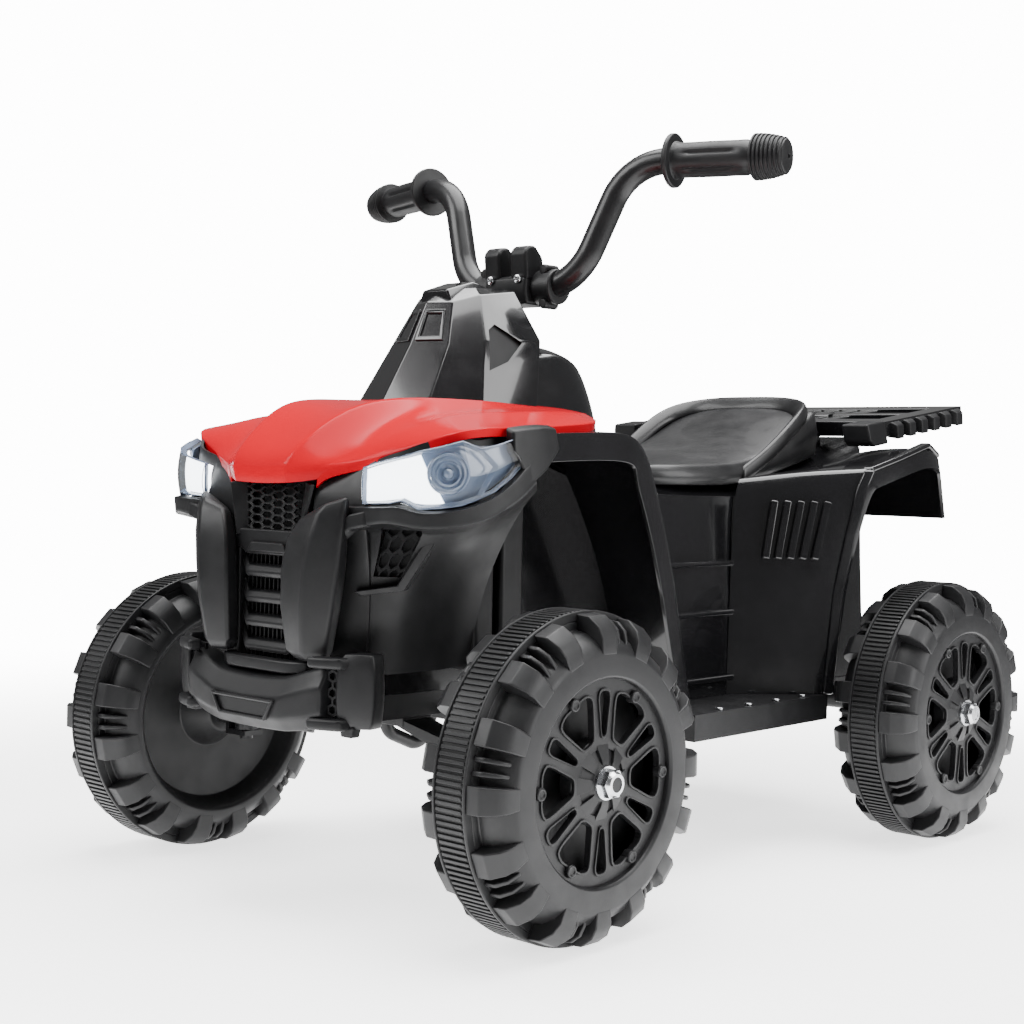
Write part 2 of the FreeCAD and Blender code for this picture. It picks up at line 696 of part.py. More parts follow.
HOOD_ROWS = (
    ((0, -97, 188), (24, -96, 189), (33, -92, 190), (38, -89, 191), (44, -86, 192)),
    ((0, -100, 199), (26, -99, 201), (37, -94, 200), (45, -89, 199), (52, -84, 198)),
    ((0, -84, 216), (32, -84, 219), (48, -79, 207), (66, -72, 206), (88, -65, 206)),
    ((0, -48, 240), (42, -48, 245), (64, -46, 228), (98, -46, 230), (139, -46, 226)),
    ((0, -5, 248), (54, -5, 250), (76, -5, 239), (106, -6, 240), (142, -8, 231)),
    ((0, 60, 252), (66, 60, 250), (84, 60, 244), (108, 60, 245), (138, 60, 237)),
    ((0, 122, 248), (66, 124, 248), (84, 126, 247), (104, 128, 248), (122, 130, 246)),
)
CHEEK_ROWS = (
    ((42, -82, 198), (78, -72, 208), (122, -66, 224), (142, -40, 232), (150, 0, 231), (151, 29, 229)),
    ((43, -86, 174), (78, -75, 174), (122, -72, 172), (143, -48, 184), (151, -4, 204), (152, 30, 211)),
    ((44, -86, 160), (78, -74, 160), (118, -70, 158), (138, -46, 168), (148, -4, 190), (149, 30, 202)),
    ((46, -84, 128), (76, -66, 128), (106, -50, 134), (124, -26, 150), (136, 0, 172), (140, 30, 192)),
    ((48, -82, 92), (74, -64, 92), (94, -44, 106), (106, -18, 126), (114, 4, 148), (119, 30, 172)),
    ((48, -78, 56), (68, -62, 58), (82, -40, 76), (90, -16, 98), (96, 4, 120), (101, 30, 146)),
)
LENS_ROWS = (
    ((77, -79, 200), (98, -80, 206), (122, -74, 214), (140, -52, 216), (149, -20, 219), (153, 4, 220)),
    ((77, -82, 188), (98, -84, 190), (122, -79, 193), (143, -55, 199), (152, -21, 209), (155, 4, 214)),
    ((76, -80, 176), (98, -83, 174), (122, -79, 173), (143, -55, 183), (152, -22, 199), (155, 4, 208)),
)
FENDER_PATH = ((31, 226, 206), (100, 229, 209), (128, 228, 206), (144, 214, 196), (156, 188, 172),
               (170, 152, 138), (182, 114, 100), (192, 70, 62), (202, 32, 30), (209, 12, 12))
QUARTER_ROWS = (
    ((94, -QUARTER_FRONT, FLOOR_TOP), (122, -121, FLOOR_TOP), (150, -86, FLOOR_TOP), (150, -76, FLOOR_TOP)),
    ((91, -148, 100), (122, -117, 100), (152, -77, 100), (152, -66, 100)),
    ((88, -143, 150), (126, -109, 150), (160, -72, 150), (161, -60, 150)),
    ((86, -137, 186), (130, -102, 188), (168, -68, 190), (169, -55, 186)),
    ((85, -129, 196), (130, -90, 204), (170, -60, 205), (172, -50, 190)),
    ((86, -21, 205), (132, -21, 217), (176, -21, 216), (180, -21, 200)),
    ((86, 20, 218), (134, 20, 229), (180, 20, 228), (184, 20, 211)),
    ((86, 36, 212), (134, 38, 222), (180, 38, 219), (184, 36, 204)),
    ((86, 46, 164), (134, 48, 164), (180, 48, 164), (184, 46, 164)),
)
POD_ROWS = (
    ((0, 22, 244), (36, 30, 244), (62, 56, 240), (78, 98, 238)),
    ((0, 25, 262), (35, 33, 262), (58, 60, 262), (70, 98, 262)),
    ((0, 36, 277), (34, 41, 277), (55, 64, 277), (66, 106, 277)),
    ((0, 52, 296), (28, 57, 296), (46, 74, 298), (60, 118, 298)),
    ((0, 55, 310), (26, 59, 310), (42, 76, 314), (48, 117, 318)),
    ((0, 61, 325), (20, 66, 325), (33, 82, 332), (36, 116, 336)),
    ((0, 84, 337), (10, 84, 337), (20, 92, 337), (24, 116, 338)),
)
KNEE_ROWS = (
    ((0, 104, 297), (30, 104, 296), (52, 103, 286), (66, 102, 264), (72, 102, 240)),
    ((0, 146, 300), (40, 146, 299), (60, 146, 290), (71, 146, 268), (75, 146, 236)),
    ((0, 168, 292), (40, 168, 290), (60, 168, 282), (70, 168, 262), (74, 168, 220)),
    ((0, 184, 262), (38, 184, 260), (58, 184, 250), (67, 183, 234), (71, 180, 204)),
    ((0, 194, 188), (34, 194, 188), (52, 194, 188), (62, 192, 186), (67, 190, 184)),
)
SEAT_ROWS = (
    ("middle", 0.515, 46, 189, 204, 206),
    ("middle", 0.565, 66, 189, 206, 212),
    ("middle", 0.646, 78, 189, 206, 218),
    ("rear", -110, 82, 190, 208, 224),
    ("rear", -62, 84, 203, 224, 234),
    ("rear", -20, 84, 213, 248, 256),
    ("rear", 2, 80, 218, 258, 264),
)
PLACES = {"front": front, "rear": rear, "middle": middle}


def panel_from(rows_of_points, place, half=True, wall=PANEL):
    rows = [[place(*p) for p in row] for row in rows_of_points]
    return shell_panel(whole_rows(rows) if half else rows, wall)


def main_body(tray):
    """Centre body: the tunnel between the footwells, the deck under the seat and the tail."""
    rows = [[PLACES[end](*p) for p in points] for end, points in BODY_ROWS]
    return trimmed(shell_panel(whole_rows(rows), PANEL), tray, column_hole(BUSH_R), *control_holes())


def front_fender():
    """Left front fender: a bent sheet over and behind the wheel, with a turned-in outer flange."""
    rows = []
    for along, height, flange_height in FENDER_PATH:
        lean = FENDER_FLANGE if height < FENDER_BEND_H else 0.0
        rows.append([front(64, along, height - 2), front(112, along, height + 1),
                     front(149, along, height), front(152, along - lean, flange_height)])
    return shell_panel(rows, PANEL)


def seat_section(end, along, half, base, edge, crown, inset):
    place = PLACES[end]
    outline = ((half - 4, base), (half, (base + edge) / 2), (half - 6, edge), (half * 0.5, crown - 2))
    low = inset * 3
    right = [place(-x + inset, along, h - (low if h == base else inset)) for x, h in outline]
    left = [mirrored_point(p) for p in reversed(right)]
    return right + [place(0, along, crown - inset)] + left


def seat():
    """Hollow moulded saddle that is open underneath."""
    outer = loft([seat_section(*row, 0.0) for row in SEAT_ROWS])
    inner = loft([seat_section(*row, PANEL) for row in SEAT_ROWS[1:-1]])
    return outer.cut(inner)


def front_fascia():
    cheek = panel_from(CHEEK_ROWS, front, half=False)
    strips = []
    for low, high, back in FASCIA_STRIPS:
        strips.append(block(-STRIP_HALF, STRIP_HALF, FRONT_Y - GRILLE_SETBACK - 8, FRONT_Y - back,
                            AXLE_Z + low, AXLE_Z + high))
    return fused([cheek, mirror(cheek)] + strips)


def headlight(side):
    """Lens, reflector and lamp of one headlight; side is +1 on the rider's left."""
    rows = [[front(*p) for p in row] for row in LENS_ROWS]
    lens = shell_panel(rows, LENS_T)
    seat_rows = [[rows[i][j] - grid_normal(rows, i, j) * LENS_T for j in range(len(rows[0]))]
                 for i in range(len(rows))]
    reflector = trimmed(shell_panel(seat_rows, REFLECTOR_T), lens)
    middle = front(*LAMP_PLACE)
    lamp = rod(middle, middle + LAMP_DIRECTION * LAMP_LENGTH, LAMP_R).common(reflector)
    pieces = [lens, reflector.cut(lamp), lamp]
    return pieces if side > 0 else [mirror(piece) for piece in pieces]


def grille_mesh(fascia):
    low, high = FASCIA_STRIPS[1][1], FASCIA_STRIPS[0][0]
    y = FRONT_Y - GRILLE_SETBACK
    plate = block(-GRILLE_HALF, GRILLE_HALF, y, y + GRILLE_T, AXLE_Z + low - 6, AXLE_Z + high + 6)
    centre = Vector(0, y, AXLE_Z + (low + high) / 2)
    holes = hex_holes(centre, Vector(1, 0, 0), Vector(0, 0, 1), HEX_SIZE, HEX_PITCH, 6, 3, 20)
    return trimmed(plate.cut(holes), fascia)


def grille_louvres(*neighbours):
    low, high = FASCIA_STRIPS[2][1], FASCIA_STRIPS[1][0]
    y = FRONT_Y - GRILLE_SETBACK
    frame = block(-GRILLE_HALF, GRILLE_HALF, y, y + 14, AXLE_Z + low - 5, AXLE_Z + high + 5)
    window = block(-LOUVRE_HALF, LOUVRE_HALF, y - 1, y + 11, AXLE_Z + low, AXLE_Z + high)
    pieces = [frame.cut(window)]
    pitch = (high - low) / LOUVRES
    for k in range(LOUVRES):
        z = AXLE_Z + low + (k + 0.35) * pitch
        slat = [Vector(-LOUVRE_HALF - 1, y - 2, z), Vector(-LOUVRE_HALF - 1, y + 12, z + 6),
                Vector(-LOUVRE_HALF - 1, y + 12, z + 11), Vector(-LOUVRE_HALF - 1, y - 2, z + 6)]
        pieces.append(prism(slat, Vector(2 * LOUVRE_HALF + 2, 0, 0)))
    fin_pitch = 2 * LOUVRE_HALF / LOUVRE_FINS
    for k in range(1, LOUVRE_FINS):
        x = -LOUVRE_HALF + k * fin_pitch
        pieces.append(block(x - 0.9, x + 0.9, y + 7, y + 12, AXLE_Z + low - 1, AXLE_Z + high + 1))
    return trimmed(fused(pieces), *neighbours)


def guard_blades(*neighbours):
    """Two upright blades beside the grille, bowed towards the front, each on a stay."""
    sections = []
    for height, x_in, x_out, y_in, y_out, depth in BLADE_SECTIONS:
        sections.append([front(x_in, y_in, height), front(x_out, y_out, height),
                         front(x_out - 3, y_out + depth, height), front(x_in + 3, y_in + depth, height)])
    x0, x1, low, high = BLADE_STAY
    stay = block(x0, x1, FRONT_Y - 101, FRONT_Y - GRILLE_SETBACK + 3, AXLE_Z + low, AXLE_Z + high)
    blade = trimmed(fused([loft(sections), stay]), *neighbours)
    return [blade, mirror(blade)]


def intake_frame():
    """Middle, across and up directions of the left intake in the cheek."""
    across = Vector(0.83, 0.55, 0).normalize()
    return front(*INTAKE_PLACE), across, Vector(0, 0, 1)


def intake_prism(grow, start, depth):
    middle, across, up = intake_frame()
    inward = up.cross(across)
    outline = []
    for u, v in INTAKE_OUTLINE:
        outline.append(middle + across * (u + math.copysign(grow, u)) + up * (v + math.copysign(grow, v))
                       + inward * start)
    return prism(outline, inward * depth)


def intake_mesh(fascia):
    middle, across, up = intake_frame()
    inward = up.cross(across)
    plate = intake_prism(3.0, 1.0, 9.0)
    holes = hex_holes(middle + inward * 4, across, up, HEX_SIZE * 0.8, HEX_PITCH * 0.8, 4, 5, 14)
    return trimmed(plate.cut(holes), fascia)


def front_bumper(fascia):
    """Bowed bar under the grille, with an open loop at each end and a recessed middle plate."""
    sections = []
    for x, y_front, y_back, low, high in BUMPER_SECTIONS:
        sections.append([front(x, y_front, low + 5), front(x, y_front, high - 7), front(x, y_front + 7, high),
                         front(x, y_back, high), front(x, y_back, low), front(x, y_front + 5, low)])
    bar = loft(sections)
    cuts = [block(-56, 56, FRONT_Y - FRONT_REACH + 10, FRONT_Y - 70, AXLE_Z + 26, AXLE_Z + 62)]
    for side in (-1, 1):
        x0, x1 = sorted((side * 70, side * 92))
        cuts.append(block(x0, x1, FRONT_Y - FRONT_REACH - 1, FRONT_Y - 60, AXLE_Z + 40, AXLE_Z + 60))
    plate = [(-36, 44), (36, 44), (26, 27), (-26, 27)]
    cuts.append(prism([front(x, -FRONT_REACH - 1, h) for x, h in plate], Vector(0, 5, 0)))
    stays = []
    for side in (-1, 1):
        x0, x1 = sorted((side * 28, side * 42))
        stays.append(block(x0, x1, FRONT_Y - FRONT_REACH + 8, FRONT_Y + NOSE_START,
                           AXLE_Z + NOSE_BOTTOM + 5, AXLE_Z + NOSE_TOP - 2))
    return trimmed(fused([bar.cut(cuts)] + stays), fascia)


def rear_rack(*carriers):
    """Slatted rack that rises to the rear on four legs."""
    rail = RACK_RAIL
    half = RACK_HALF
    solids = [block(-half, half, -rail, 0, -RACK_T, 0),
              block(-half, half, -RACK_DECK, -RACK_DECK + rail, -RACK_T, 0),
              block(-half, half, -RACK_DECK / 2 - 6, -RACK_DECK / 2 + 6, -RACK_T, 0),
              block(-RACK_PANEL_HALF, RACK_PANEL_HALF, -RACK_DECK, 0, -RACK_T, -2)]
    cuts = []
    for side in (-1, 1):
        x0, x1 = sorted((side * (half - rail), side * half))
        solids.append(block(x0, x1, -RACK_LENGTH, 0, -RACK_T, 0))
        leg0, leg1 = sorted((side * 30, side * 56))
        solids.append(block(leg0, leg1, -RACK_DECK + 2, -RACK_DECK + rail - 2, -RACK_T - 40, -RACK_T + 1))
        for k in range(RACK_NOTCHES):
            y = -RACK_LENGTH + (k + 1.6) * RACK_LENGTH / (RACK_NOTCHES + 1.2)
            n0, n1 = sorted((side * (half - 5), side * (half + 1)))
            cuts.append(block(n0, n1, y - 4, y + 4, -RACK_T - 1, -4))
    groove = 2 * RACK_PANEL_HALF / (RACK_SLATS + 1)
    for k in range(1, RACK_SLATS + 1):
        x = -RACK_PANEL_HALF + k * groove
        cuts.append(block(x - 2, x + 2, -RACK_DECK + rail, -rail, -5, 1))
    rack = fused(solids).cut(cuts)
    rack.rotate(Vector(0, 0, 0), Vector(1, 0, 0), RACK_TILT)
    lean = RACK_T * math.sin(math.radians(RACK_TILT))
    rack.translate(rear(0, REAR_REACH - lean, RACK_REAR_H))
    return trimmed(rack, *carriers)


def body_screws():
    """Screw heads along the two sills."""
    y0 = FRONT_Y + SILL_START + 40
    y1 = REAR_Y - SILL_END - 30
    z = AXLE_Z + FLOOR_TOP
    screws = []
    for x in (-SILL_HALF + 6, SILL_HALF - 6):
        for k in range(SILL_SCREWS):
            y = y0 + (y1 - y0) * k / (SILL_SCREWS - 1)
            screws.append(rod(Vector(x, y, z), Vector(x, y, z + 2), SCREW_R))
    return screws


# Drive train: wheel gear, compound idler and motor pinion
def gear(teeth, module, start_x, thickness, middle, turn):
    pitch_r = teeth * module / 2
    outline = toothed_outline(teeth, pitch_r + 0.8 * module, pitch_r - 1.1 * module, 0.24, 0.62)
    solid = prism(outline, Vector(thickness, 0, 0))
    solid.rotate(Vector(0, 0, 0), Vector(1, 0, 0), turn)
    solid.translate(Vector(start_x, middle.y, middle.z))
    return solid


REAR_AXLE = Vector(0, REAR_Y, AXLE_Z)
IDLER_REACH = (WHEEL_TEETH + SMALL_TEETH) * GEAR_MODULE / 2
IDLER_AXIS = REAR_AXLE + Vector(0, -math.cos(math.radians(IDLER_PITCH)),
                                math.sin(math.radians(IDLER_PITCH))) * IDLER_REACH
MOTOR_AXIS = IDLER_AXIS + Vector(0, 0, (IDLER_TEETH + PINION_TEETH) * MOTOR_MODULE / 2)
GEAR_X = -(TRACK_HALF - WHEEL_HALF_WIDTH)
HOUSING_X = GEAR_X + GEAR_T + 1.5
MOTOR_GEAR_X = HOUSING_X + HOUSING_WALL + 1
PARTITION_X = MOTOR_GEAR_X + MOTOR_GEAR_T + 1
MOTOR_X = PARTITION_X + HOUSING_WALL


def along_x(middle, x0, x1, radius):
    return rod(Vector(x0, middle.y, middle.z), Vector(x1, middle.y, middle.z), radius)


def wheel_gear():
    solid = gear(WHEEL_TEETH, GEAR_MODULE, GEAR_X, GEAR_T, REAR_AXLE, 180 - IDLER_PITCH)
    return solid.cut(along_x(REAR_AXLE, GEAR_X - 1, GEAR_X + GEAR_T + 1, WHEEL_BORE_R))


def idler_gear():
    small = gear(SMALL_TEETH, GEAR_MODULE, GEAR_X + 0.5, GEAR_T - 0.5, IDLER_AXIS,
                 -IDLER_PITCH + 180 / SMALL_TEETH)
    large = gear(IDLER_TEETH, MOTOR_MODULE, MOTOR_GEAR_X, MOTOR_GEAR_T, IDLER_AXIS, 90)
    shaft = along_x(IDLER_AXIS, GEAR_X + 1, MOTOR_X - 0.5, IDLER_SHAFT_R)
    return fused([small, large, shaft])


def motor_pinion():
    pinion = gear(PINION_TEETH, MOTOR_MODULE, MOTOR_GEAR_X, MOTOR_GEAR_T, MOTOR_AXIS,
                  270 + 180 / PINION_TEETH)
    shaft = along_x(MOTOR_AXIS, MOTOR_GEAR_X, MOTOR_X + 2, MOTOR_SHAFT_R)
    return fused([pinion, shaft])


def motor():
    can = along_x(MOTOR_AXIS, MOTOR_X, MOTOR_X + MOTOR_LENGTH, MOTOR_R)
    tail = along_x(MOTOR_AXIS, MOTOR_X + MOTOR_LENGTH, MOTOR_X + MOTOR_LENGTH + 3, MOTOR_R * 0.4)
    bore = along_x(MOTOR_AXIS, MOTOR_X - 1, MOTOR_X + 3, MOTOR_SHAFT_R + RUN_CLEAR)
    return fused([can, tail]).cut(bore)


def gearbox_housing():
    """Box beside the rear wheel that carries the motor and the idler; open towards the tunnel."""
    wall = HOUSING_WALL
    gear_r = IDLER_TEETH * MOTOR_MODULE / 2 + MOTOR_MODULE
    y0 = IDLER_AXIS.y - gear_r - wall - 1
    y1 = REAR_AXLE.y + AXLE_R + 10
    z0 = REAR_AXLE.z - AXLE_R - 10
    z1 = MOTOR_AXIS.z + MOTOR_R + wall + 1
    outer = block(HOUSING_X, -TAIL_HALF, y0, y1, z0, z1)
    room = block(HOUSING_X + wall, -TAIL_HALF + 1, y0 + wall, y1 - wall, z0 + wall, z1 - wall)
    partition = block(PARTITION_X, PARTITION_X + wall, y0 + 1, y1 - 1, z0 + 1, z1 - 1)
    nub = along_x(REAR_AXLE, GEAR_X + GEAR_T + RUN_CLEAR, HOUSING_X + 1, AXLE_R + 5)
    cuts = [along_x(REAR_AXLE, GEAR_X, -TAIL_HALF + 1, AXLE_R),
            along_x(IDLER_AXIS, GEAR_X, MOTOR_X + 1, IDLER_SHAFT_R + RUN_CLEAR),
            along_x(MOTOR_AXIS, PARTITION_X - 1, MOTOR_X + 1, MOTOR_SHAFT_R + 2)]
    return fused([outer.cut(room), partition, nub]).cut(cuts)


def rear_axle():
    reach = TRACK_HALF + NUT_END - 0.5
    return along_x(REAR_AXLE, -reach, reach, AXLE_R)


def battery():
    width, length, height = BATTERY
    z = AXLE_Z + FLOOR_TOP
    y = FRONT_Y + SILL_START + 90
    case = block(-width / 2, width / 2, y, y + length, z, z + height)
    posts = [block(x - 4, x + 4, y + 14, y + 22, z + height, z + height + 6) for x in (-20, 20)]
    return fused([case] + posts)


# Controls: pedal on the right footboard, switches and socket on the deck before the seat
PEDAL_AXLE = Vector(-SILL_HALF + 33, FRONT_Y + SILL_START + FOOTWELL * PEDAL_AXLE_SHARE,
                    AXLE_Z + FLOOR_TOP + PEDAL_AXLE_H)


def pedal_axle(clearance):
    reach = PEDAL_SIZE[0] / 2 + PEDAL_EAR
    return along_x(PEDAL_AXLE, PEDAL_AXLE.x - reach, PEDAL_AXLE.x + reach, PEDAL_PIN_R + clearance)


def pedal_ears():
    ears = []
    floor = AXLE_Z + FLOOR_TOP - 1
    for side in (-1, 1):
        inner = PEDAL_SIZE[0] / 2 + SEAT_CLEAR
        x0, x1 = sorted((PEDAL_AXLE.x + side * inner, PEDAL_AXLE.x + side * (inner + PEDAL_EAR)))
        ears.append(block(x0, x1, PEDAL_AXLE.y - 5, PEDAL_AXLE.y + 5, floor, PEDAL_AXLE.z + 5))
    return ears


def throttle_pedal():
    width, length, thick = PEDAL_SIZE
    plate = block(-width / 2, width / 2, -length, 0, -thick / 2, thick / 2)
    ribs = []
    for k in range(1, PEDAL_RIBS + 1):
        y = -length * k / (PEDAL_RIBS + 1)
        ribs.append(block(-width / 2 + 4, width / 2 - 4, y - 1.5, y + 1.5, 0, thick / 2 + 1.5))
    barrel = rod(Vector(-width / 2, 0, 0), Vector(width / 2, 0, 0), PEDAL_AXLE_H - 1)
    pedal = fused([plate, barrel] + ribs)
    pedal.rotate(Vector(0, 0, 0), Vector(1, 0, 0), -PEDAL_TILT)
    pedal.translate(PEDAL_AXLE)
    return fused([pedal, pedal_axle(0)])


BUTTON_PLACE = front(-CONTROL_PITCH, CONTROL_ALONG, DECK_H)
ROCKER_PLACE = front(0, CONTROL_ALONG, DECK_H)
SOCKET_PLACE = front(CONTROL_PITCH, CONTROL_ALONG, DECK_H)
UP = Vector(0, 0, 1)


def rocker_pin(clearance):
    middle = ROCKER_PLACE - UP * (PANEL / 2)
    reach = ROCKER[0] / 2 + 2.5 + clearance
    return along_x(middle, -reach, reach, ROCKER_PIN_R + clearance)


def control_holes():
    width, length, _ = ROCKER
    gap = SEAT_CLEAR * 3
    x = width / 2 + SEAT_CLEAR
    y = length / 2 + gap
    window = block(-x, x, ROCKER_PLACE.y - y, ROCKER_PLACE.y + y, ROCKER_PLACE.z - 9, ROCKER_PLACE.z + 9)
    return [rod(BUTTON_PLACE - UP * 9, BUTTON_PLACE + UP * 9, BUTTON_R + SEAT_CLEAR),
            rod(SOCKET_PLACE - UP * 9, SOCKET_PLACE + UP * 9, SOCKET_R - 2),
            window, rocker_pin(RUN_CLEAR)]


def power_button():
    cap = rod(BUTTON_PLACE - UP * 9, BUTTON_PLACE + UP * (BUTTON_TRAVEL + 1.5), BUTTON_R)
    flange_top = BUTTON_PLACE - UP * (PANEL + SEAT_CLEAR)
    return fused([cap, rod(flange_top - UP * 2, flange_top, BUTTON_R + 2)])


def direction_switch():
    width, length, height = ROCKER
    half = length / 2
    outline = [(-half, 4), (0, 2), (half, 4), (half, -4), (half - 4, 4 - height), (4 - half, 4 - height),
               (-half, -4)]
    base = ROCKER_PLACE - UP * (PANEL / 2)
    points = [base + Vector(-width / 2, y, z) for y, z in outline]
    return fused([prism(points, Vector(width, 0, 0)), rocker_pin(0)])


def charging_socket():
    flange = rod(SOCKET_PLACE, SOCKET_PLACE + UP * 2, SOCKET_R)
    barrel = rod(SOCKET_PLACE - UP * 14, SOCKET_PLACE + UP, SOCKET_R - 2)
    bore = rod(SOCKET_PLACE - UP * 10, SOCKET_PLACE + UP * 3, SOCKET_R - 5)
    return fused([flange, barrel]).cut(bore)


def group(solids):
    return Part.makeCompound(solids)


def wheel_parts():
    parts = {}
    outer, inner, band, nut = wheel_outer_half(), wheel_inner_half(), tread_band(), hub_nut()
    for corner, side, y in (("front_left", 1, FRONT_Y), ("front_right", -1, FRONT_Y),
                            ("rear_left", 1, REAR_Y), ("rear_right", -1, REAR_Y)):
        parts["wheel_outer_" + corner] = place_wheel(outer, side, y)
        parts["wheel_inner_" + corner] = place_wheel(inner, side, y)
        parts["tread_band_" + corner] = place_wheel(band, side, y)
    parts["hub_nut_left"] = place_wheel(nut, 1, FRONT_Y)
    parts["hub_nut_right"] = place_wheel(nut, -1, FRONT_Y)
    parts["rear_axle_nuts"] = group([place_wheel(nut, 1, REAR_Y), place_wheel(nut, -1, REAR_Y)])
    return parts


def steering_parts():
    bar = bar_solid(BAR_R)
    parts = {"handlebar_tube": handlebar_tube(), "grip_left": grip(), "clamp_base": clamp_base(bar)}
    parts["grip_right"] = mirror(parts["grip_left"])
    parts["clamp_caps"] = group(clamp_caps(bar))
    parts["clamp_screws"] = group(clamp_screws())
    parts["steering_column"] = steering_column()
    parts["steering_bushes"] = group(steering_bushes())
    parts["front_axle_beam"] = front_axle_beam()
    parts["knuckle_left"] = knuckle()
    parts["knuckle_right"] = mirror(parts["knuckle_left"])
    parts["tie_rod"] = tie_rod()
    return parts


def body_parts():
    tray = chassis_tray()
    body = main_body(tray)
    hood = panel_from(HOOD_ROWS, front).cut(column_hole(COLUMN_HOLE_R))
    lamps = [headlight(side) for side in (1, -1)]
    intake = intake_prism(0, -20, 40)
    fascia = trimmed(front_fascia(), hood, body, tray, intake, mirror(intake),
                     *[piece for pieces in lamps for piece in pieces[:2]])
    fender = trimmed(front_fender(), body, hood, tray, fascia)
    seat_shell = trimmed(seat(), body)
    quarter = trimmed(panel_from(QUARTER_ROWS, rear, half=False), body, tray, seat_shell)
    knee = trimmed(panel_from(KNEE_ROWS, front), hood, body, column_hole(COLUMN_HOLE_R))
    pod = trimmed(panel_from(POD_ROWS, front), hood, knee)
    bumper = front_bumper(fascia)
    louvres = grille_louvres(fascia, body)
    mesh = intake_mesh(fascia)
    return {
        "chassis_tray": tray, "main_body": body, "hood_cover": hood, "front_fascia": fascia,
        "headlight_lens_left": lamps[0][0], "headlight_lens_right": lamps[1][0],
        "headlight_reflectors": group([lamps[0][1], lamps[1][1]]),
        "headlight_lamps": group([lamps[0][2], lamps[1][2]]),
        "front_fender_left": fender, "front_fender_right": trimmed(mirror(fender), body),
        "seat": seat_shell, "rear_fender_left": quarter, "rear_fender_right": trimmed(mirror(quarter), body),
        "knee_cover": knee, "steering_pod": pod, "front_bumper": bumper,
        "grille_mesh": grille_mesh(fascia), "grille_louvres": louvres,
        "guard_blades": group(guard_blades(fascia, bumper, louvres, *lamps[0][:2])),
        "intake_meshes": group([mesh, mirror(mesh)]),
        "rear_rack": rear_rack(body, quarter, mirror(quarter), seat_shell),
        "body_screws": group(body_screws()),
    }


def drive_parts():
    return {"rear_axle": rear_axle(), "gearbox_housing": gearbox_housing(), "motor": motor(),
            "motor_pinion": motor_pinion(), "idler_gear": idler_gear(), "wheel_gear": wheel_gear(),
            "battery": battery(), "throttle_pedal": throttle_pedal(), "power_button": power_button(),
            "direction_switch": direction_switch(), "charging_socket": charging_socket()}


os.makedirs("parts", exist_ok=True)
for make in (wheel_parts, steering_parts, body_parts, drive_parts):
    for name, shape in make().items():
        shape.exportStep("parts/%s.step" % name)
        print("%-24s solids %d valid %s" % (name, len(shape.Solids), shape.isValid()))
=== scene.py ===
"""Kids quad bike: dressed panels, trim, materials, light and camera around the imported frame."""
import json
import math

import bmesh
import bpy
from mathutils import Matrix, Vector


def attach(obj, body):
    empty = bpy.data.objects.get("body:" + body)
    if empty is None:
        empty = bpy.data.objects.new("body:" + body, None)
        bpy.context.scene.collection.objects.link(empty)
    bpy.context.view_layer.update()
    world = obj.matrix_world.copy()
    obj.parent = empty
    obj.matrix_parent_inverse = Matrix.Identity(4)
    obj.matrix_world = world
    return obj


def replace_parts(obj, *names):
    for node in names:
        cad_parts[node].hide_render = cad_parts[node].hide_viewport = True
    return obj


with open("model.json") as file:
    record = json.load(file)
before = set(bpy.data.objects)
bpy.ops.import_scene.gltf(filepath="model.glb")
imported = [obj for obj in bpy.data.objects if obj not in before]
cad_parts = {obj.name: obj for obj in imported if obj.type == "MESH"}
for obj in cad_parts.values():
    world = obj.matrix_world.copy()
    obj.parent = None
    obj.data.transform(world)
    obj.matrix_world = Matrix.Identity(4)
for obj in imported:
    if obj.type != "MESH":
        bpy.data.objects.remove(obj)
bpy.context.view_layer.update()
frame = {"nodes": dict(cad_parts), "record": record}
NODES = frame["nodes"]
BODY_OF = {node: body for body, nodes in frame["record"]["behaviour"]["bodies"].items() for node in nodes}

# Places are written in millimetres, along from an axle and up from the axle line
MM = 0.001
FRONT_Y = -260.0
REAR_Y = 221.0
AXLE_Z = 110.0
WALL = 3.0


def front(x, along, height):
    return Vector((x, FRONT_Y + along, AXLE_Z + height)) * MM


def rear(x, along, height):
    return Vector((x, REAR_Y + along, AXLE_Z + height)) * MM


# Materials
NOISE_LOW, NOISE_HIGH = 0.3, 0.7
CLOUD_SCALE = 14.0
GLOSS_SCALE = 60.0
STREAK_SCALE = 400.0
COAT_ROUGH = 0.06
PALE_LIFT = 0.004
LENS_IOR = 1.2
GLOW_COLOUR = (0.93, 0.97, 1.0, 1.0)


def fill(tree, node, values):
    """Sets inputs of a node: a socket is linked to the input, anything else is its value."""
    for name, value in values.items():
        if isinstance(value, bpy.types.NodeSocket):
            tree.links.new(value, node.inputs[name])
        else:
            node.inputs[name].default_value = value


def add_node(tree, kind, values, **settings):
    node = tree.nodes.new("ShaderNode" + kind)
    for name, setting in settings.items():
        setattr(node, name, setting)
    fill(tree, node, values)
    return node


def new_material(name):
    material = bpy.data.materials.new(name)
    material.use_nodes = True
    tree = material.node_tree
    return material, tree, tree.nodes["Principled BSDF"]


def noise(tree, scale, detail=4.0, stretch=(1.0, 1.0, 1.0)):
    """Noise in the object's own metres; returns its value socket."""
    place = add_node(tree, "TexCoord", {}).outputs["Object"]
    vector = add_node(tree, "Mapping", {"Vector": place, "Scale": stretch}).outputs["Vector"]
    return add_node(tree, "TexNoise", {"Vector": vector, "Scale": scale, "Detail": detail}).outputs["Fac"]


def spread(tree, value, low, high):
    """Maps a noise value to a range."""
    values = {"Value": value, "From Min": NOISE_LOW, "From Max": NOISE_HIGH, "To Min": low, "To Max": high}
    return add_node(tree, "MapRange", values).outputs["Result"]


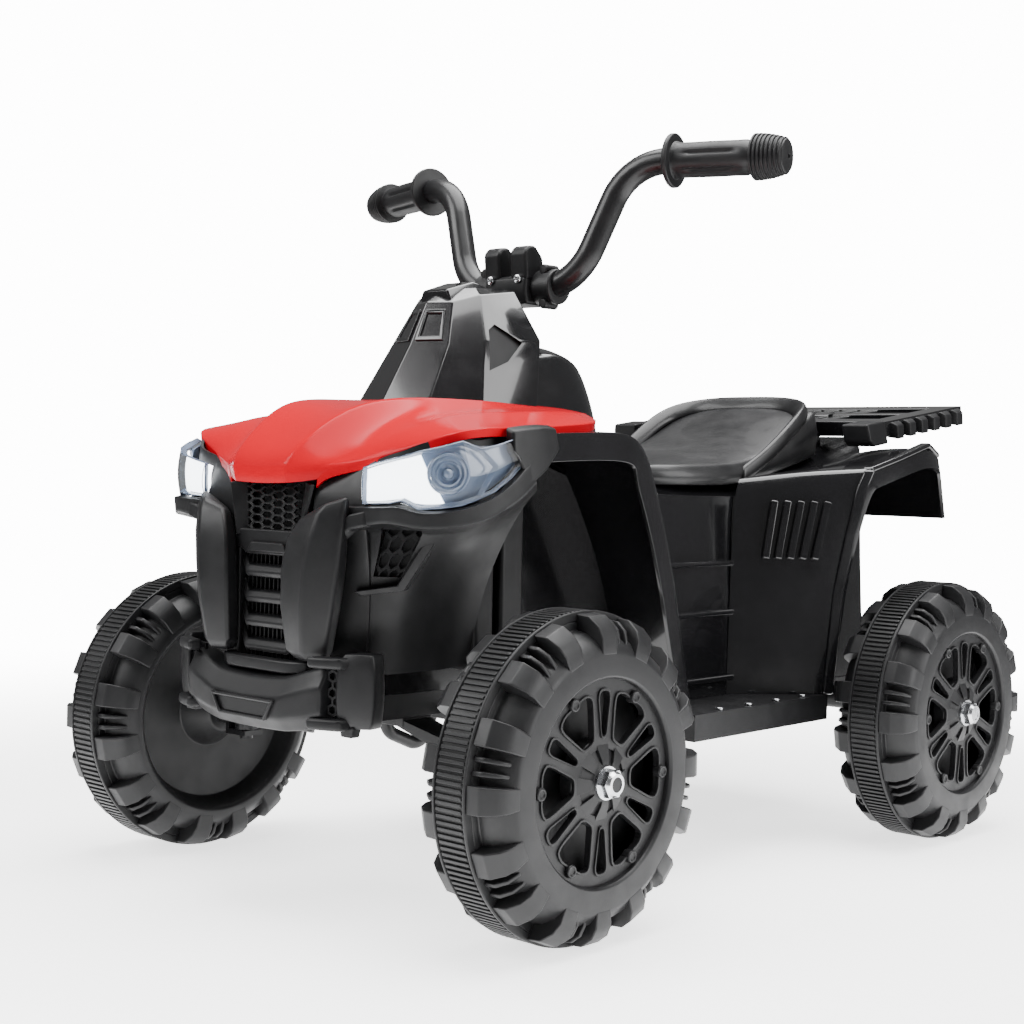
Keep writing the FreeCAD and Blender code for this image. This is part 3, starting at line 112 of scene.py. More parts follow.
def colour_mix(tree, value, first, second):
    """Colour between two, by a noise value."""
    values = {"Factor": spread(tree, value, 0.0, 1.0), "A": (*first, 1.0), "B": (*second, 1.0)}
    return add_node(tree, "Mix", values, data_type="RGBA").outputs["Result"]


def bump(tree, value, height):
    return add_node(tree, "Bump", {"Height": value, "Distance": height, "Strength": 1.0}).outputs["Normal"]


def plastic(name, colour, rough, coat, grain, depth, paleness, shine):
    """Moulded plastic: a fine grain, uneven gloss and slightly paler clouds."""
    material, tree, shader = new_material(name)
    pale = tuple(min(1.0, c * (1.0 + paleness) + PALE_LIFT * paleness) for c in colour)
    fill(tree, shader, {
        "Base Color": colour_mix(tree, noise(tree, CLOUD_SCALE), colour, pale),
        "Roughness": spread(tree, noise(tree, GLOSS_SCALE), rough * 0.85, rough * 1.2),
        "Specular IOR Level": shine,
        "Coat Weight": coat,
        "Coat Roughness": COAT_ROUGH,
        "Normal": bump(tree, noise(tree, grain, 2.0), depth),
    })
    return material


def metal(name, colour, rough, stretch=(1.0, 1.0, 1.0)):
    """Plated or drawn metal with faint streaks."""
    material, tree, shader = new_material(name)
    streak = noise(tree, STREAK_SCALE, 3.0, stretch)
    fill(tree, shader, {
        "Base Color": colour_mix(tree, streak, tuple(c * 0.8 for c in colour), colour),
        "Roughness": spread(tree, streak, rough * 0.8, rough * 1.3),
        "Metallic": 1.0,
        "Normal": bump(tree, streak, 0.00001),
    })
    return material


def clear_lens(name):
    material, tree, shader = new_material(name)
    fill(tree, shader, {
        "Base Color": (0.96, 0.98, 1.0, 1.0),
        "Transmission Weight": 1.0,
        "IOR": LENS_IOR,
        "Roughness": spread(tree, noise(tree, 40.0), 0.01, 0.04),
        "Normal": bump(tree, noise(tree, 25.0, 1.0), 0.0001),
    })
    return material


def lit_plastic(name, colour, glow):
    """Milky plastic with a lamp behind it."""
    material, tree, shader = new_material(name)
    cloud = noise(tree, 30.0)
    fill(tree, shader, {
        "Base Color": colour_mix(tree, cloud, colour, (1.0, 1.0, 1.0)),
        "Roughness": spread(tree, cloud, 0.2, 0.35),
        "Emission Color": GLOW_COLOUR,
        "Emission Strength": glow,
    })
    return material


# Plastics: colour, roughness, coat, scale and depth in metres of the grain, paleness of the clouds, shine
PLASTICS = {
    "red_gloss": ((0.40, 0.0004, 0.008), 0.16, 0.0, 300.0, 0.000004, 0.05, 0.06),
    "black_gloss": ((0.003, 0.003, 0.0035), 0.18, 0.6, 500.0, 0.000005, 0.35, 0.3),
    "black_matte": ((0.0045, 0.0045, 0.005), 0.42, 0.0, 1200.0, 0.00003, 0.35, 0.25),
    "seat_black": ((0.006, 0.006, 0.0065), 0.36, 0.1, 900.0, 0.00002, 0.35, 0.35),
    "grip_black": ((0.005, 0.005, 0.0055), 0.45, 0.0, 1600.0, 0.00003, 0.35, 0.3),
    "wheel_black": ((0.0065, 0.0065, 0.007), 0.44, 0.0, 1000.0, 0.00003, 0.35, 0.3),
    "tread_black": ((0.0065, 0.0065, 0.007), 0.46, 0.0, 1000.0, 0.00003, 0.35, 0.3),
    "bar_paint": ((0.005, 0.005, 0.0055), 0.34, 0.1, 250.0, 0.00001, 0.35, 0.3),
    "frame_paint": ((0.006, 0.006, 0.0065), 0.35, 0.0, 400.0, 0.00001, 0.35, 0.3),
    "gear_nylon": ((0.55, 0.53, 0.46), 0.45, 0.0, 1200.0, 0.00002, 0.35, 0.5),
    "battery_case": ((0.04, 0.04, 0.045), 0.4, 0.0, 1200.0, 0.00002, 0.35, 0.5),
    "button_red": ((0.5, 0.01, 0.01), 0.25, 0.5, 1200.0, 0.00002, 0.35, 0.5),
    "reflector_bright": ((0.11, 0.14, 0.20), 0.2, 0.5, 200.0, 0.00001, 0.35, 0.5),
}
SLOT_MATERIAL = {name: plastic(name, *values) for name, values in PLASTICS.items()}
SLOT_MATERIAL["zinc"] = metal("zinc", (0.72, 0.73, 0.75), 0.22)
SLOT_MATERIAL["motor_can"] = metal("motor_can", (0.55, 0.55, 0.56), 0.3, (1.0, 8.0, 8.0))
SLOT_MATERIAL["lens_clear"] = clear_lens("lens_clear")
SLOT_MATERIAL["lamp_white"] = lit_plastic("lamp_white", (0.9, 0.92, 0.95), 6.0)
SLOT_OF = {part["node"]: part["material_slot"] for part in frame["record"]["subparts"]}


# Points
SIDES = (("left", 1), ("right", -1))


def flipped(points):
    """Mirror image of points on the other side of the vehicle."""
    return [Vector((-p.x, p.y, p.z)) for p in points]


def side_of(points):
    """1 for a piece on the left, -1 for one on the right."""
    return 1 if points[0].x > 0 else -1


def placed(points, place):
    return [place(*p) for p in points]


def place_rows(rows, place):
    return [placed(row, place) for row in rows]


def upright(place, along, outline):
    """Outline of (across, height) points in an upright plane across the vehicle."""
    return [place(x, along, h) for x, h in outline]


def deep(depth):
    """Step towards the rear."""
    return Vector((0, depth * MM, 0))


def whole_rows(rows):
    """Rows of points from the middle outwards become rows from side to side."""
    return [flipped(reversed(row[1:])) + list(row) for row in rows]


def mirror_rows(rows):
    return [flipped(reversed(row)) for row in rows]


def on_patch(corners, u, v):
    """Point at two shares of a patch with corners low left, low right, high left and high right."""
    a, b, c, d = corners
    return (a * (1 - u) + b * u) * (1 - v) + (c * (1 - u) + d * u) * v


def facing(corners):
    """Direction in which a patch faces."""
    return (corners[1] - corners[0]).cross(corners[2] - corners[0]).normalized()


# Building blocks
def in_scene(name, data):
    thing = bpy.data.objects.new(name, data)
    bpy.context.scene.collection.objects.link(thing)
    return thing


def add_object(name, mesh, slot, body="chassis"):
    """Puts a mesh in the scene with a slot's material, riding on a body."""
    piece = in_scene(name, mesh)
    mesh.materials.clear()
    mesh.materials.append(SLOT_MATERIAL[slot])
    for face in mesh.polygons:
        face.use_smooth = True
    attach(piece, body)
    return piece


def round_edges(piece, width, segments=3, angle=32.0):
    bevel = piece.modifiers.new("bevel", "BEVEL")
    bevel.width = width * MM
    bevel.segments = segments
    bevel.limit_method = "ANGLE"
    bevel.angle_limit = math.radians(angle)
    weighted = piece.modifiers.new("normals", "WEIGHTED_NORMAL")
    weighted.keep_sharp = True
    return piece


def thicken(piece, wall, offset=-1.0):
    """Gives faces a wall; offset -1 lays it behind them and 0 on both sides."""
    shell = piece.modifiers.new("wall", "SOLIDIFY")
    shell.thickness = wall * MM
    shell.offset = offset


def subdivide(piece, levels=3):
    modifier = piece.modifiers.new("subdivision", "SUBSURF")
    modifier.levels = levels
    modifier.render_levels = levels
    return piece


def to_mesh(shape, name):
    mesh = bpy.data.meshes.new(name)
    shape.to_mesh(mesh)
    shape.free()
    return mesh


def finish_mesh(shape, name):
    bmesh.ops.recalc_face_normals(shape, faces=shape.faces)
    return to_mesh(shape, name)


def soften(node, width):
    """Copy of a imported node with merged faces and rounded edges, in place of the node."""
    shape = bmesh.new()
    shape.from_mesh(NODES[node].data)
    bmesh.ops.remove_doubles(shape, verts=shape.verts, dist=0.00001)
    bmesh.ops.dissolve_limit(shape, angle_limit=math.radians(0.6), verts=shape.verts, edges=shape.edges)
    piece = add_object(node + "_soft", to_mesh(shape, node + "_soft"), SLOT_OF[node], BODY_OF[node])
    round_edges(piece, width, 2)
    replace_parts(piece, node)


def bridge(shape, loops, closed=True):
    """Faces between neighbouring lines of points."""
    for a, b in zip(loops, loops[1:]):
        for j in range(len(a) if closed else len(a) - 1):
            m = (j + 1) % len(a)
            shape.faces.new((a[j], a[m], b[m], b[j]))


def capped(shape, outlines):
    """Closed form between two outlines."""
    near, far = ([shape.verts.new(p) for p in line] for line in outlines)
    shape.faces.new(near)
    shape.faces.new(list(reversed(far)))
    for j in range(len(near)):
        m = (j + 1) % len(near)
        shape.faces.new((near[j], far[j], far[m], near[m]))


def cage_mesh(name, rows, creases, closed=False):
    """Grid of faces through rows of points; creases are ("row" or "col", number, weight)."""
    shape = bmesh.new()
    grid = [[shape.verts.new(p) for p in row] for row in rows]
    bridge(shape, grid, closed)
    weight = shape.edges.layers.float.new("crease_edge")
    for kind, number, amount in creases:
        line = grid[number] if kind == "row" else [row[number] for row in grid]
        pairs = list(zip(line, line[1:]))
        if closed and kind == "row":
            pairs.append((line[-1], line[0]))
        for v, w in pairs:
            edge = shape.edges.get((v, w))
            edge[weight] = max(edge[weight], amount)
    if closed:
        shape.faces.new(list(reversed(grid[0])))
        shape.faces.new(grid[-1])
        return finish_mesh(shape, name)
    for edge in shape.edges:
        if edge.is_boundary:
            edge[weight] = 1.0
    shape.normal_update()
    middle = sum((v.co for v in shape.verts), Vector()) / len(shape.verts)
    inside = Vector((middle.x * 0.3, middle.y, middle.z - 60 * MM))
    outward = sum(f.normal.dot(f.calc_center_median() - inside) * f.calc_area() for f in shape.faces)
    if outward < 0:
        bmesh.ops.reverse_faces(shape, faces=shape.faces)
    return to_mesh(shape, name)


def panel(name, rows, slot, creases=(), wall=WALL, edge=0.7, levels=3, angle=40.0):
    """Moulded panel of even thickness, rounded between its creases."""
    piece = add_object(name, cage_mesh(name, rows, creases), slot)
    if levels:
        subdivide(piece, levels)
    thicken(piece, wall)
    return round_edges(piece, edge, 2, angle) if edge else piece


def lump(name, rings, slot, creases):
    """Closed form through rings of points, rounded between its creases."""
    return subdivide(add_object(name, cage_mesh(name, rings, creases, closed=True), slot))


def loft(name, rings, slot, edge, segments=3):
    """Closed form with flat facets through rings of points, its edges rounded."""
    return round_edges(add_object(name, cage_mesh(name, rings, (), closed=True), slot), edge, segments)


def bar(name, path, across, up, slot, edge):
    """Bar of rectangular section along a path."""
    rings = [[p - across - up, p + across - up, p + across + up, p - across + up] for p in path]
    return loft(name, rings, slot, edge)


def prism_mesh(name, outline, depth):
    """Closed prism from an outline of points, pushed along a direction."""
    shape = bmesh.new()
    capped(shape, (outline, [p + depth for p in outline]))
    return finish_mesh(shape, name)


def slab(name, outline, depth, slot, edge, segments=3, body="chassis"):
    return round_edges(add_object(name, prism_mesh(name, outline, depth), slot, body), edge, segments)


def frame_slab(name, outer, inner, depth, slot, edge):
    """Flat ring between two outlines, pushed along a direction."""
    shape = bmesh.new()
    lines = (outer, [p + depth for p in outer], [p + depth for p in inner], inner)
    loops = [[shape.verts.new(p) for p in line] for line in lines]
    bridge(shape, loops + loops[:1])
    return round_edges(add_object(name, finish_mesh(shape, name), slot), edge, 2)


def lathe(name, place, axis, profile, slot, body="chassis", turns=48, shape_of=None):
    """Turned form: profile gives (along, radius) pairs; shape_of may change a radius round the turn."""
    axis = axis.normalized()
    first = axis.orthogonal().normalized()
    second = axis.cross(first)
    rings = []
    for along, radius in profile:
        ring = []
        for k in range(turns):
            angle = 2 * math.pi * k / turns
            r = shape_of(along, radius, angle) if shape_of else radius
            outward = first * math.cos(angle) + second * math.sin(angle)
            ring.append(place + (axis * along + outward * r) * MM)
        rings.append(ring)
    return round_edges(add_object(name, cage_mesh(name, rings, (), closed=True), slot, body), 0.4, 2, 35.0)


def hex_lattice(name, corners, columns, rows, rim, wall):
    """Honeycomb net over a patch; rim is the share of each cell that is plastic."""
    shape = bmesh.new()
    for j in range(rows + 1):
        for i in range(columns + 1):
            u0, v0 = i + (0.5 if j % 2 else 0.0), float(j)
            outer, inner = [], []
            for k in range(6):
                angle = math.radians(60 * k + 30)
                du, dv = math.cos(angle) / math.sqrt(3), math.sin(angle) * 2 / 3
                for ring, share in ((outer, 1.0), (inner, 1.0 - rim)):
                    u = min(1.0, max(0.0, (u0 + du * share) / columns))
                    v = min(1.0, max(0.0, (v0 + dv * share) / rows))
                    ring.append(shape.verts.new(on_patch(corners, u, v)))
            bridge(shape, [outer, inner])
    bmesh.ops.remove_doubles(shape, verts=shape.verts, dist=0.00005)
    bmesh.ops.dissolve_degenerate(shape, edges=shape.edges, dist=0.00005)
    piece = add_object(name, finish_mesh(shape, name), "black_matte")
    thicken(piece, wall, 0.0)
    return round_edges(piece, 0.25, 2, 50.0)


def carve(piece, outline, depth):
    """Cuts an opening through a panel."""
    tool = in_scene("tool", prism_mesh("tool", outline, depth))
    cut = piece.modifiers.new("opening", "BOOLEAN")
    cut.object = tool
    cut.solver = "EXACT"
    bpy.context.view_layer.update()
    shaped = bpy.data.meshes.new_from_object(piece.evaluated_get(bpy.context.evaluated_depsgraph_get()))
    piece.modifiers.clear()
    piece.data = shaped
    bpy.data.objects.remove(tool)


def on_both(make, name, points, *args, **options):
    """A piece on the left and its mirror image; returns the two."""
    pair = []
    for side, turn in (("left", list), ("right", flipped)):
        shaped = turn(points) if isinstance(points[0], Vector) else [turn(line) for line in points]
        pair.append(make("%s_%s" % (name, side), shaped, *args, **options))
    return pair


def both_sides(name, rows, node, slot, creases):
    """A panel on the left and one on the right, each in place of its own node."""
    for side, points in (("left", rows), ("right", mirror_rows(rows))):
        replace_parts(panel("%s_%s" % (name, side), points, slot, creases), "%s_%s" % (node, side))


# Hood: a raised middle with crisp shoulders, then a valley and a wing on each side
HOOD_ROWS = (
    ((0, -100, 187), (27, -99, 188), (37, -94, 189), (42, -91, 190), (47, -88, 191)),
    ((0, -104, 200), (28, -103, 202), (40, -97, 201), (47, -91, 200), (54, -86, 199)),
    ((0, -86, 216), (33, -86, 220), (49, -80, 207), (67, -73, 206), (88, -67, 206)),
    ((0, -49, 240), (42, -49, 246), (64, -47, 228), (100, -49, 230), (150, -51, 228)),
    ((0, -5, 248), (54, -5, 251), (76, -5, 239), (106, -6, 239), (144, -6, 228)),
    ((0, 60, 252), (66, 60, 250), (84, 60, 244), (108, 60, 242), (140, 60, 232)),
    ((0, 100, 250), (66, 101, 249), (84, 102, 246), (107, 103, 244), (135, 100, 235)),
    ((0, 122, 248), (66, 124, 248), (84, 126, 246), (101, 126, 243), (116, 122, 238)),
)
HOOD_FLANGE = 6.0
HOOD_CREASES = {4: 0.6, 6: 0.6, 2: 0.55, 8: 0.55, 1: 0.75, 9: 0.75}


def hood():
    rows = []
    for row in HOOD_ROWS:
        x, along, h = row[-1]
        rows.append(placed(row, front) + [front(x - 1.0, along, h - HOOD_FLANGE)])
    creases = [("col", column, weight) for column, weight in HOOD_CREASES.items()]
    rows = whole_rows(rows)
    cover = panel("hood_panel", rows, "red_gloss", creases, edge=0.6, levels=4, angle=65.0)
    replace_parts(cover, "hood_cover")


# Front fascia: an inner panel beside the nose, a brow under each headlight and a cheek below it
BROW_ROWS = (
    ((72, -80, 174), (84, -79, 174), (100, -80, 174.5), (112, -78, 175), (120, -75, 177),
     (129, -68.5, 171.5), (138, -57, 172.5), (144, -44, 174.5), (148, -32, 179), (151, -21, 184),
     (153, -8, 194), (155, 4, 206)),
    ((72, -86, 173), (84, -86, 173), (101, -88, 173.5), (113, -87, 174), (122, -83, 175), (132, -75, 170),
     (142, -62, 171), (148, -48, 173.5), (153, -34, 178), (156, -22, 184), (158, -8, 193), (158, 6, 206)),
    ((72, -85, 160), (84, -85, 160), (101, -87, 162), (113, -86, 164), (123, -81, 162), (134, -72, 160),
     (144, -58, 161), (150, -43, 164), (155, -29, 168), (157, -17, 174), (159, -4, 181), (159, 10, 192)),
    ((66, -76, 156), (80, -72, 156), (96, -72, 158), (106, -71, 160), (116, -66, 158), (126, -57, 156),
     (135, -43, 157), (141, -30, 160), (145, -17, 165), (147, -5, 171), (149, 6, 177), (150, 20, 186)),
    ((62, -75, 128), (76, -66, 128), (88, -60, 129), (97, -55, 131), (104, -51, 134), (110, -44, 137),
     (116, -36, 141), (121, -29, 146), (125, -20, 151), (128, -10, 156), (131, 2, 162), (134, 18, 170)),
    ((62, -73, 93), (74, -64, 94), (79, -59, 94), (84, -53, 95), (89, -47, 96), (93, -41, 98),
     (97, -34, 100), (100, -27, 102), (103, -20, 105), (106, -12, 108), (108, -3, 112), (110, 10, 118)),
    ((58, -68, 57), (68, -62, 58), (72, -57, 58), (76, -51, 58), (80, -45, 58), (84, -39, 59),
     (87, -32, 59), (90, -25, 60), (93, -18, 60), (96, -10, 61), (98, -2, 62), (100, 8, 64)),
)
INNER_ROWS = (
    ((43, -84, 188), (62, -77, 195), (86, -70, 205)),
    ((43, -88, 180), (62, -84, 180), (86, -80, 178)),
    ((43, -88, 160), (62, -84, 160), (86, -79, 162)),
    ((45, -85, 128), (60, -76, 128), (78, -66, 128)),
    ((47, -82, 92), (60, -74, 92), (76, -64, 92)),
    ((47, -78, 56), (58, -70, 57), (70, -62, 58)),
)
CORNER_RINGS = (
    (-9, (147, 214), (155, 212), (154, 226), (146, 229)),
    (6, (149, 193), (159, 190), (157, 228), (147, 231)),
    (20, (150, 202), (160, 200), (157, 229), (147, 232)),
    (34, (150, 215), (159, 215), (155, 229), (146, 232)),
)
INTAKE_PLACE = (93, -58, 142)
INTAKE_ACROSS = Vector((0.83, 0.55, 0.0)).normalized()
INTAKE_IN = Vector((-0.55, 0.83, 0.0)).normalized()
INTAKE_OUTLINE = ((-15, -16), (4, -16), (-6, 17), (24, 17))
INTAKE_CUT = 60
LIP_PATH = ((-26, -26, -1), (5, -21, -4), (29, 17, -7))
BROW_CREASES = (("row", 0, 0.9), ("row", 1, 0.75), ("row", 2, 0.8), ("row", 3, 0.6))
BRACKET_PATH = ((96, -84, 166), (82, -86, 163), (66, -93, 148))


def intake_point(u, v, inward):
    """Point in the plane of the left intake, pushed in from the cheek."""
    return front(*INTAKE_PLACE) + (INTAKE_ACROSS * u + INTAKE_IN * inward + Vector((0, 0, v))) * MM


def intake_ring(inward, wide=1.0, tall=1.0):
    """Corners of the left intake in turn."""
    return [intake_point(u * wide, v * tall, inward) for u, v in (INTAKE_OUTLINE[k] for k in (0, 1, 3, 2))]


def into_intake(side):
    return Vector((INTAKE_IN.x * side, INTAKE_IN.y, 0))


def fascia():
    rows = place_rows(BROW_ROWS, front)
    cut = intake_ring(-INTAKE_CUT / 2)
    cheeks = []
    for (side, sign), shaped, outline in zip(SIDES, (rows, mirror_rows(rows)), (cut, flipped(cut))):
        cheek = panel("fascia_cheek_" + side, shaped, "black_matte", BROW_CREASES, edge=None)
        carve(cheek, outline, into_intake(sign) * INTAKE_CUT * MM)
        round_edges(cheek, 0.6, 2, 42.0)
        cheeks.append(cheek)
    inner = place_rows(INNER_ROWS, front)
    on_both(panel, "fascia_inner", inner, "black_matte", [("row", 2, 0.5), ("col", 1, 0.3)])
    corner = [upright(front, along, ring) for along, *ring in CORNER_RINGS]
    on_both(loft, "fascia_corner", corner, "black_matte", 2.0)
    on_both(intake_lip, "intake_lip", placed(LIP_PATH, intake_point))
    across, up = Vector((2, 3.5, 0)) * MM, Vector((0, 0, 5.5)) * MM
    on_both(bar, "brow_bracket", placed(BRACKET_PATH, front), across, up, "black_matte", 1.8)
    net = [intake_point(u, v, 3.5) for u, v in INTAKE_OUTLINE]
    nets = on_both(hex_lattice, "intake_net", net, columns=3, rows=3, rim=0.22, wall=1.6)
    on_both(intake_back, "intake_back", intake_ring(7.0, 1.15, 1.1))
    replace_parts(cheeks[0], "front_fascia")
    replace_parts(nets[0], "intake_meshes")


def intake_lip(name, path):
    """Raised edge round the outer side of an intake."""
    side = side_of(path)
    out = -into_intake(side)
    across = Vector((INTAKE_ACROSS.x * side, INTAKE_ACROSS.y, 0))
    low = Vector((0, 0, -3.2))
    rings = [[p - (across * 1.5 + out * 6) * MM, p + (across * 4.5 + low - out * 6) * MM,
              p + (across * 4.0 + low + out * 3) * MM, p - (across * 1.5 - out * 4) * MM] for p in path]
    return loft(name, rings, "black_matte", 1.0)


def intake_back(name, outline):
    return slab(name, outline, into_intake(side_of(outline)) * 1.5 * MM, "black_matte", 0.3)


# Grille between the guard blades
GRILLE_Y = -87.0
SLAT_HEIGHTS = (125.0, 107.0, 90.0, 73.0)
SLAT_PATH = ((-33, -86, 9), (-22, -92, 0), (22, -92, 0), (33, -86, 9))
SLAT_SECTION = ((10, 1), (0, -4), (-1.5, 0), (1, 4.5), (10, 6))
NET_CORNERS = ((-28, 154), (-29, 187), (28, 154), (29, 187))
BACK_OUTLINE = ((-44, 58), (44, 58), (44, 192), (-44, 192))
FUNNEL_RINGS = (
    ((29, -85, 154), (29, -78, 154), (36, -91, 150), (33, -93, 150)),
    ((31, -85, 189), (31, -78, 189), (46, -89, 187), (44, -91, 187)),
)
BAND_OUTLINE = ((-45, 141), (-31, 141), (-26, 137), (26, 137), (31, 141), (45, 141), (34, 155), (-34, 155))
STEP_OUTLINE = ((-22, 139), (22, 139), (17, 146), (-17, 146))
POST_OUTLINE = ((33, 58), (47, 58), (47, 142), (33, 142))
COLLAR_PATH = ((-46, -88, 62), (-30, -96, 62), (30, -96, 62), (46, -88, 62))
FINS = 13
FIN_REACH = 28
FIN_OUTLINE = ((-0.7, 62), (-0.7, 138), (0.7, 138), (0.7, 62))
BLADE_RINGS = (
    (68, 68, 37, 61, -98, -95, 9),
    (75, 75, 31, 66, -103, -98, 13),
    (104, 104, 28.5, 73, -106.5, -99, 14),
    (130, 130, 29, 77, -107, -98.5, 14),
    (150, 152, 33, 79, -105, -98, 13),
    (163, 171, 40, 79.5, -101, -95.5, 11),
    (169, 180, 48, 78.5, -96, -92.5, 8),
)


def grille():
    corners = upright(front, GRILLE_Y, NET_CORNERS)
    net = hex_lattice("grille_net", corners, columns=6, rows=5, rim=0.22, wall=2.0)
    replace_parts(net, "grille_mesh")
    slab("grille_back", upright(front, GRILLE_Y + 9, BACK_OUTLINE), deep(2), "black_matte", 0.5)
    on_both(loft, "grille_funnel", place_rows(FUNNEL_RINGS, front), "black_matte", 0.8)
    slab("grille_band", upright(front, -91, BAND_OUTLINE), deep(11), "black_matte", 1.6)
    slab("grille_step", upright(front, -93.5, STEP_OUTLINE), deep(4), "black_matte", 1.2)
    on_both(slab, "grille_post", upright(front, -90, POST_OUTLINE), deep(12), "black_matte", 1.5)
    for k, height in enumerate(SLAT_HEIGHTS):
        rings = [[front(x, along + back, height + rise + up) for back, up in SLAT_SECTION]
                 for x, along, rise in SLAT_PATH]
        slat = loft("grille_slat_%d" % (k + 1), rings, "black_matte", 1.2)
        if k == 0:
            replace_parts(slat, "grille_louvres")
    for k in range(FINS):
        x = 2 * FIN_REACH * k / (FINS - 1) - FIN_REACH
        fin = upright(front, GRILLE_Y + 1, [(x + across, h) for across, h in FIN_OUTLINE])
        slab("grille_fin_%02d" % (k + 1), fin, deep(9), "black_matte", 0.2, 1)
    bar("grille_collar", placed(COLLAR_PATH, front), deep(5), Vector((0, 0, 4.5 * MM)), "black_matte", 2.0)


def blades():
    rings = []
    for h_in, h_out, x_in, x_out, y_in, y_out, depth in BLADE_RINGS:
        ridge = x_in + 0.6 * (x_out - x_in)
        rings.append([front(x_in + 1, y_in + depth, h_in), front(x_in, y_in + 2, h_in),
                      front(ridge, min(y_in, y_out) - 1.5, h_in * 0.4 + h_out * 0.6),
                      front(x_out, y_out + 3, h_out), front(x_out - 2, y_out + depth, h_out)])
    pair = on_both(loft, "guard_blade", rings, "black_matte", 3.0, 4)
    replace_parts(pair[0], "guard_blades")


# Bumper: a bowed bar with a horn at each end
BUMPER_RINGS = (
    (72, -104, -84, 26, 69), (58, -108, -86, 22, 66), (36, -111, -88, 19, 59), (0, -112, -88, 18, 56),
)
HORN_RINGS = (
    (26, 82, -92, 100, -84), (30, 80, -97, 104, -86), (50, 80, -98, 106, -86), (70, 81, -97, 105, -86),
    (76, 84, -93, 101, -84),
)


LINK_HEIGHTS = (("upper", 69.5), ("lower", 28.5))
LINK_PATH = ((64, -104), (74, -101), (88, -95))
BUMPER_NET = ((66, -98, 32), (84, -92, 32), (66, -98, 66), (84, -92, 66))
BUMPER_PIT = ((66, -94, 30), (86, -87, 30), (86, -87, 70), (66, -94, 70))
PLATE_Y = -113.5
PLATE_OUTLINE = ((-34, 41), (34, 41), (25, 26), (-25, 26))
PLATE_HOLLOW = ((-30, 38.5), (30, 38.5), (23, 28.5), (-23, 28.5))
TAB_OUTLINE = ((78, 27), (92, 27), (90, 20), (80, 20))
HORN_CREASES = (
    ("row", 0, 0.75), ("row", 4, 0.75), ("col", 1, 0.7), ("col", 3, 0.6), ("col", 0, 0.7), ("col", 4, 0.7),
)


def bumper():
    rings = []
    for x, y_front, y_back, low, high in BUMPER_RINGS:
        section = ((y_back, low + 4), (y_front + 8, low), (y_front, low + 9),
                   (y_front, high - 16), (y_front + 7, high - 3), (y_back, high))
        rings.append([front(x, along, h) for along, h in section])
    whole = rings + [flipped(ring) for ring in reversed(rings[:-1])]
    creases = [("col", k, 0.72) for k in range(6)]
    creases += [("row", 0, 0.8), ("row", len(whole) - 1, 0.8), ("row", 2, 0.5), ("row", 4, 0.5)]
    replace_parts(lump("bumper_bar", whole, "black_matte", creases), "front_bumper")
    horn = []
    for h, x0, y0, x1, y1 in HORN_RINGS:
        horn.append([front(x0, y0 + 16, h), front(x0, y0, h), front((x0 + x1) / 2, (y0 + y1) / 2 - 2, h),
                     front(x1, y1, h), front(x1 - 2, y1 + 12, h)])
    on_both(lump, "bumper_horn", horn, "black_matte", HORN_CREASES)
    across, up = Vector((1.5, 5, 0)) * MM, Vector((0, 0, 4 * MM))
    for name, h in LINK_HEIGHTS:
        link = [front(x, along, h) for x, along in LINK_PATH]
        on_both(bar, "bumper_link_" + name, link, across, up, "black_matte", 2.5)
    on_both(hex_lattice, "bumper_net", placed(BUMPER_NET, front), columns=3, rows=6, rim=0.26, wall=1.6)
    on_both(slab, "bumper_pit", placed(BUMPER_PIT, front), deep(3), "black_matte", 0.4)
    plate, hollow = (upright(front, PLATE_Y, outline) for outline in (PLATE_OUTLINE, PLATE_HOLLOW))
    frame_slab("bumper_plate", plate, hollow, deep(4), "black_matte", 0.9)
    on_both(slab, "bumper_tab", upright(front, -92, TAB_OUTLINE), deep(8), "black_matte", 0.8)


# Fenders, quarter panels, steering pod and knee cover
FENDER_PATH = ((31, 226, 206), (100, 229, 209), (128, 228, 206), (144, 214, 196), (156, 188, 172),
               (170, 152, 138), (182, 114, 100), (192, 70, 62), (202, 32, 30), (209, 12, 12))
FENDER_LEAN = 18.0
FENDER_TOP = 220.0
FLOOR_TOP = 14.0
QUARTER_ROWS = (
    ((94, -154, FLOOR_TOP), (122, -121, FLOOR_TOP), (150, -86, FLOOR_TOP), (150, -76, FLOOR_TOP)),
    ((91, -148, 100), (122, -117, 100), (152, -77, 100), (152, -66, 100)),
    ((88, -143, 150), (126, -109, 150), (160, -72, 150), (161, -60, 150)),
    ((86, -137, 186), (130, -102, 188), (168, -68, 190), (169, -55, 186)),
    ((85, -129, 196), (130, -90, 204), (170, -60, 205), (172, -50, 190)),
    ((86, -21, 205), (132, -21, 217), (176, -21, 216), (180, -21, 200)),
    ((86, 20, 218), (134, 20, 229), (180, 20, 228), (184, 20, 211)),
    ((86, 36, 212), (134, 38, 222), (180, 38, 219), (184, 36, 204)),
    ((86, 46, 164), (134, 48, 164), (180, 48, 164), (184, 46, 164)),
)
VENTS = 5
VENT_FACE = ((96, -147, 124), (152, -84, 124), (92, -141, 184), (158, -78, 184))
VENT_FIRST, VENT_PITCH = 0.27, 0.125
POD_ROWS = (
    ((0, 10, 242), (39, 21, 242), (66, 53, 239), (79, 98, 237)),
    ((0, 41, 292), (31, 51, 292), (49, 71, 295), (63, 118, 298)),
    ((0, 57, 325), (20, 66, 325), (33, 82, 331), (37, 116, 336)),
    ((0, 76, 337), (12, 79, 337), (21, 90, 338), (24, 116, 339)),
)
SCOOP_OUTLINE = (
    (1, 0.1, 0.24), (1, 0.24, 0.36), (1, 0.46, 0.16), (0, 0.66, 0.97), (0, 0.42, 0.72), (0, 0.1, 0.6),
)
SCOOP_CUT = 6
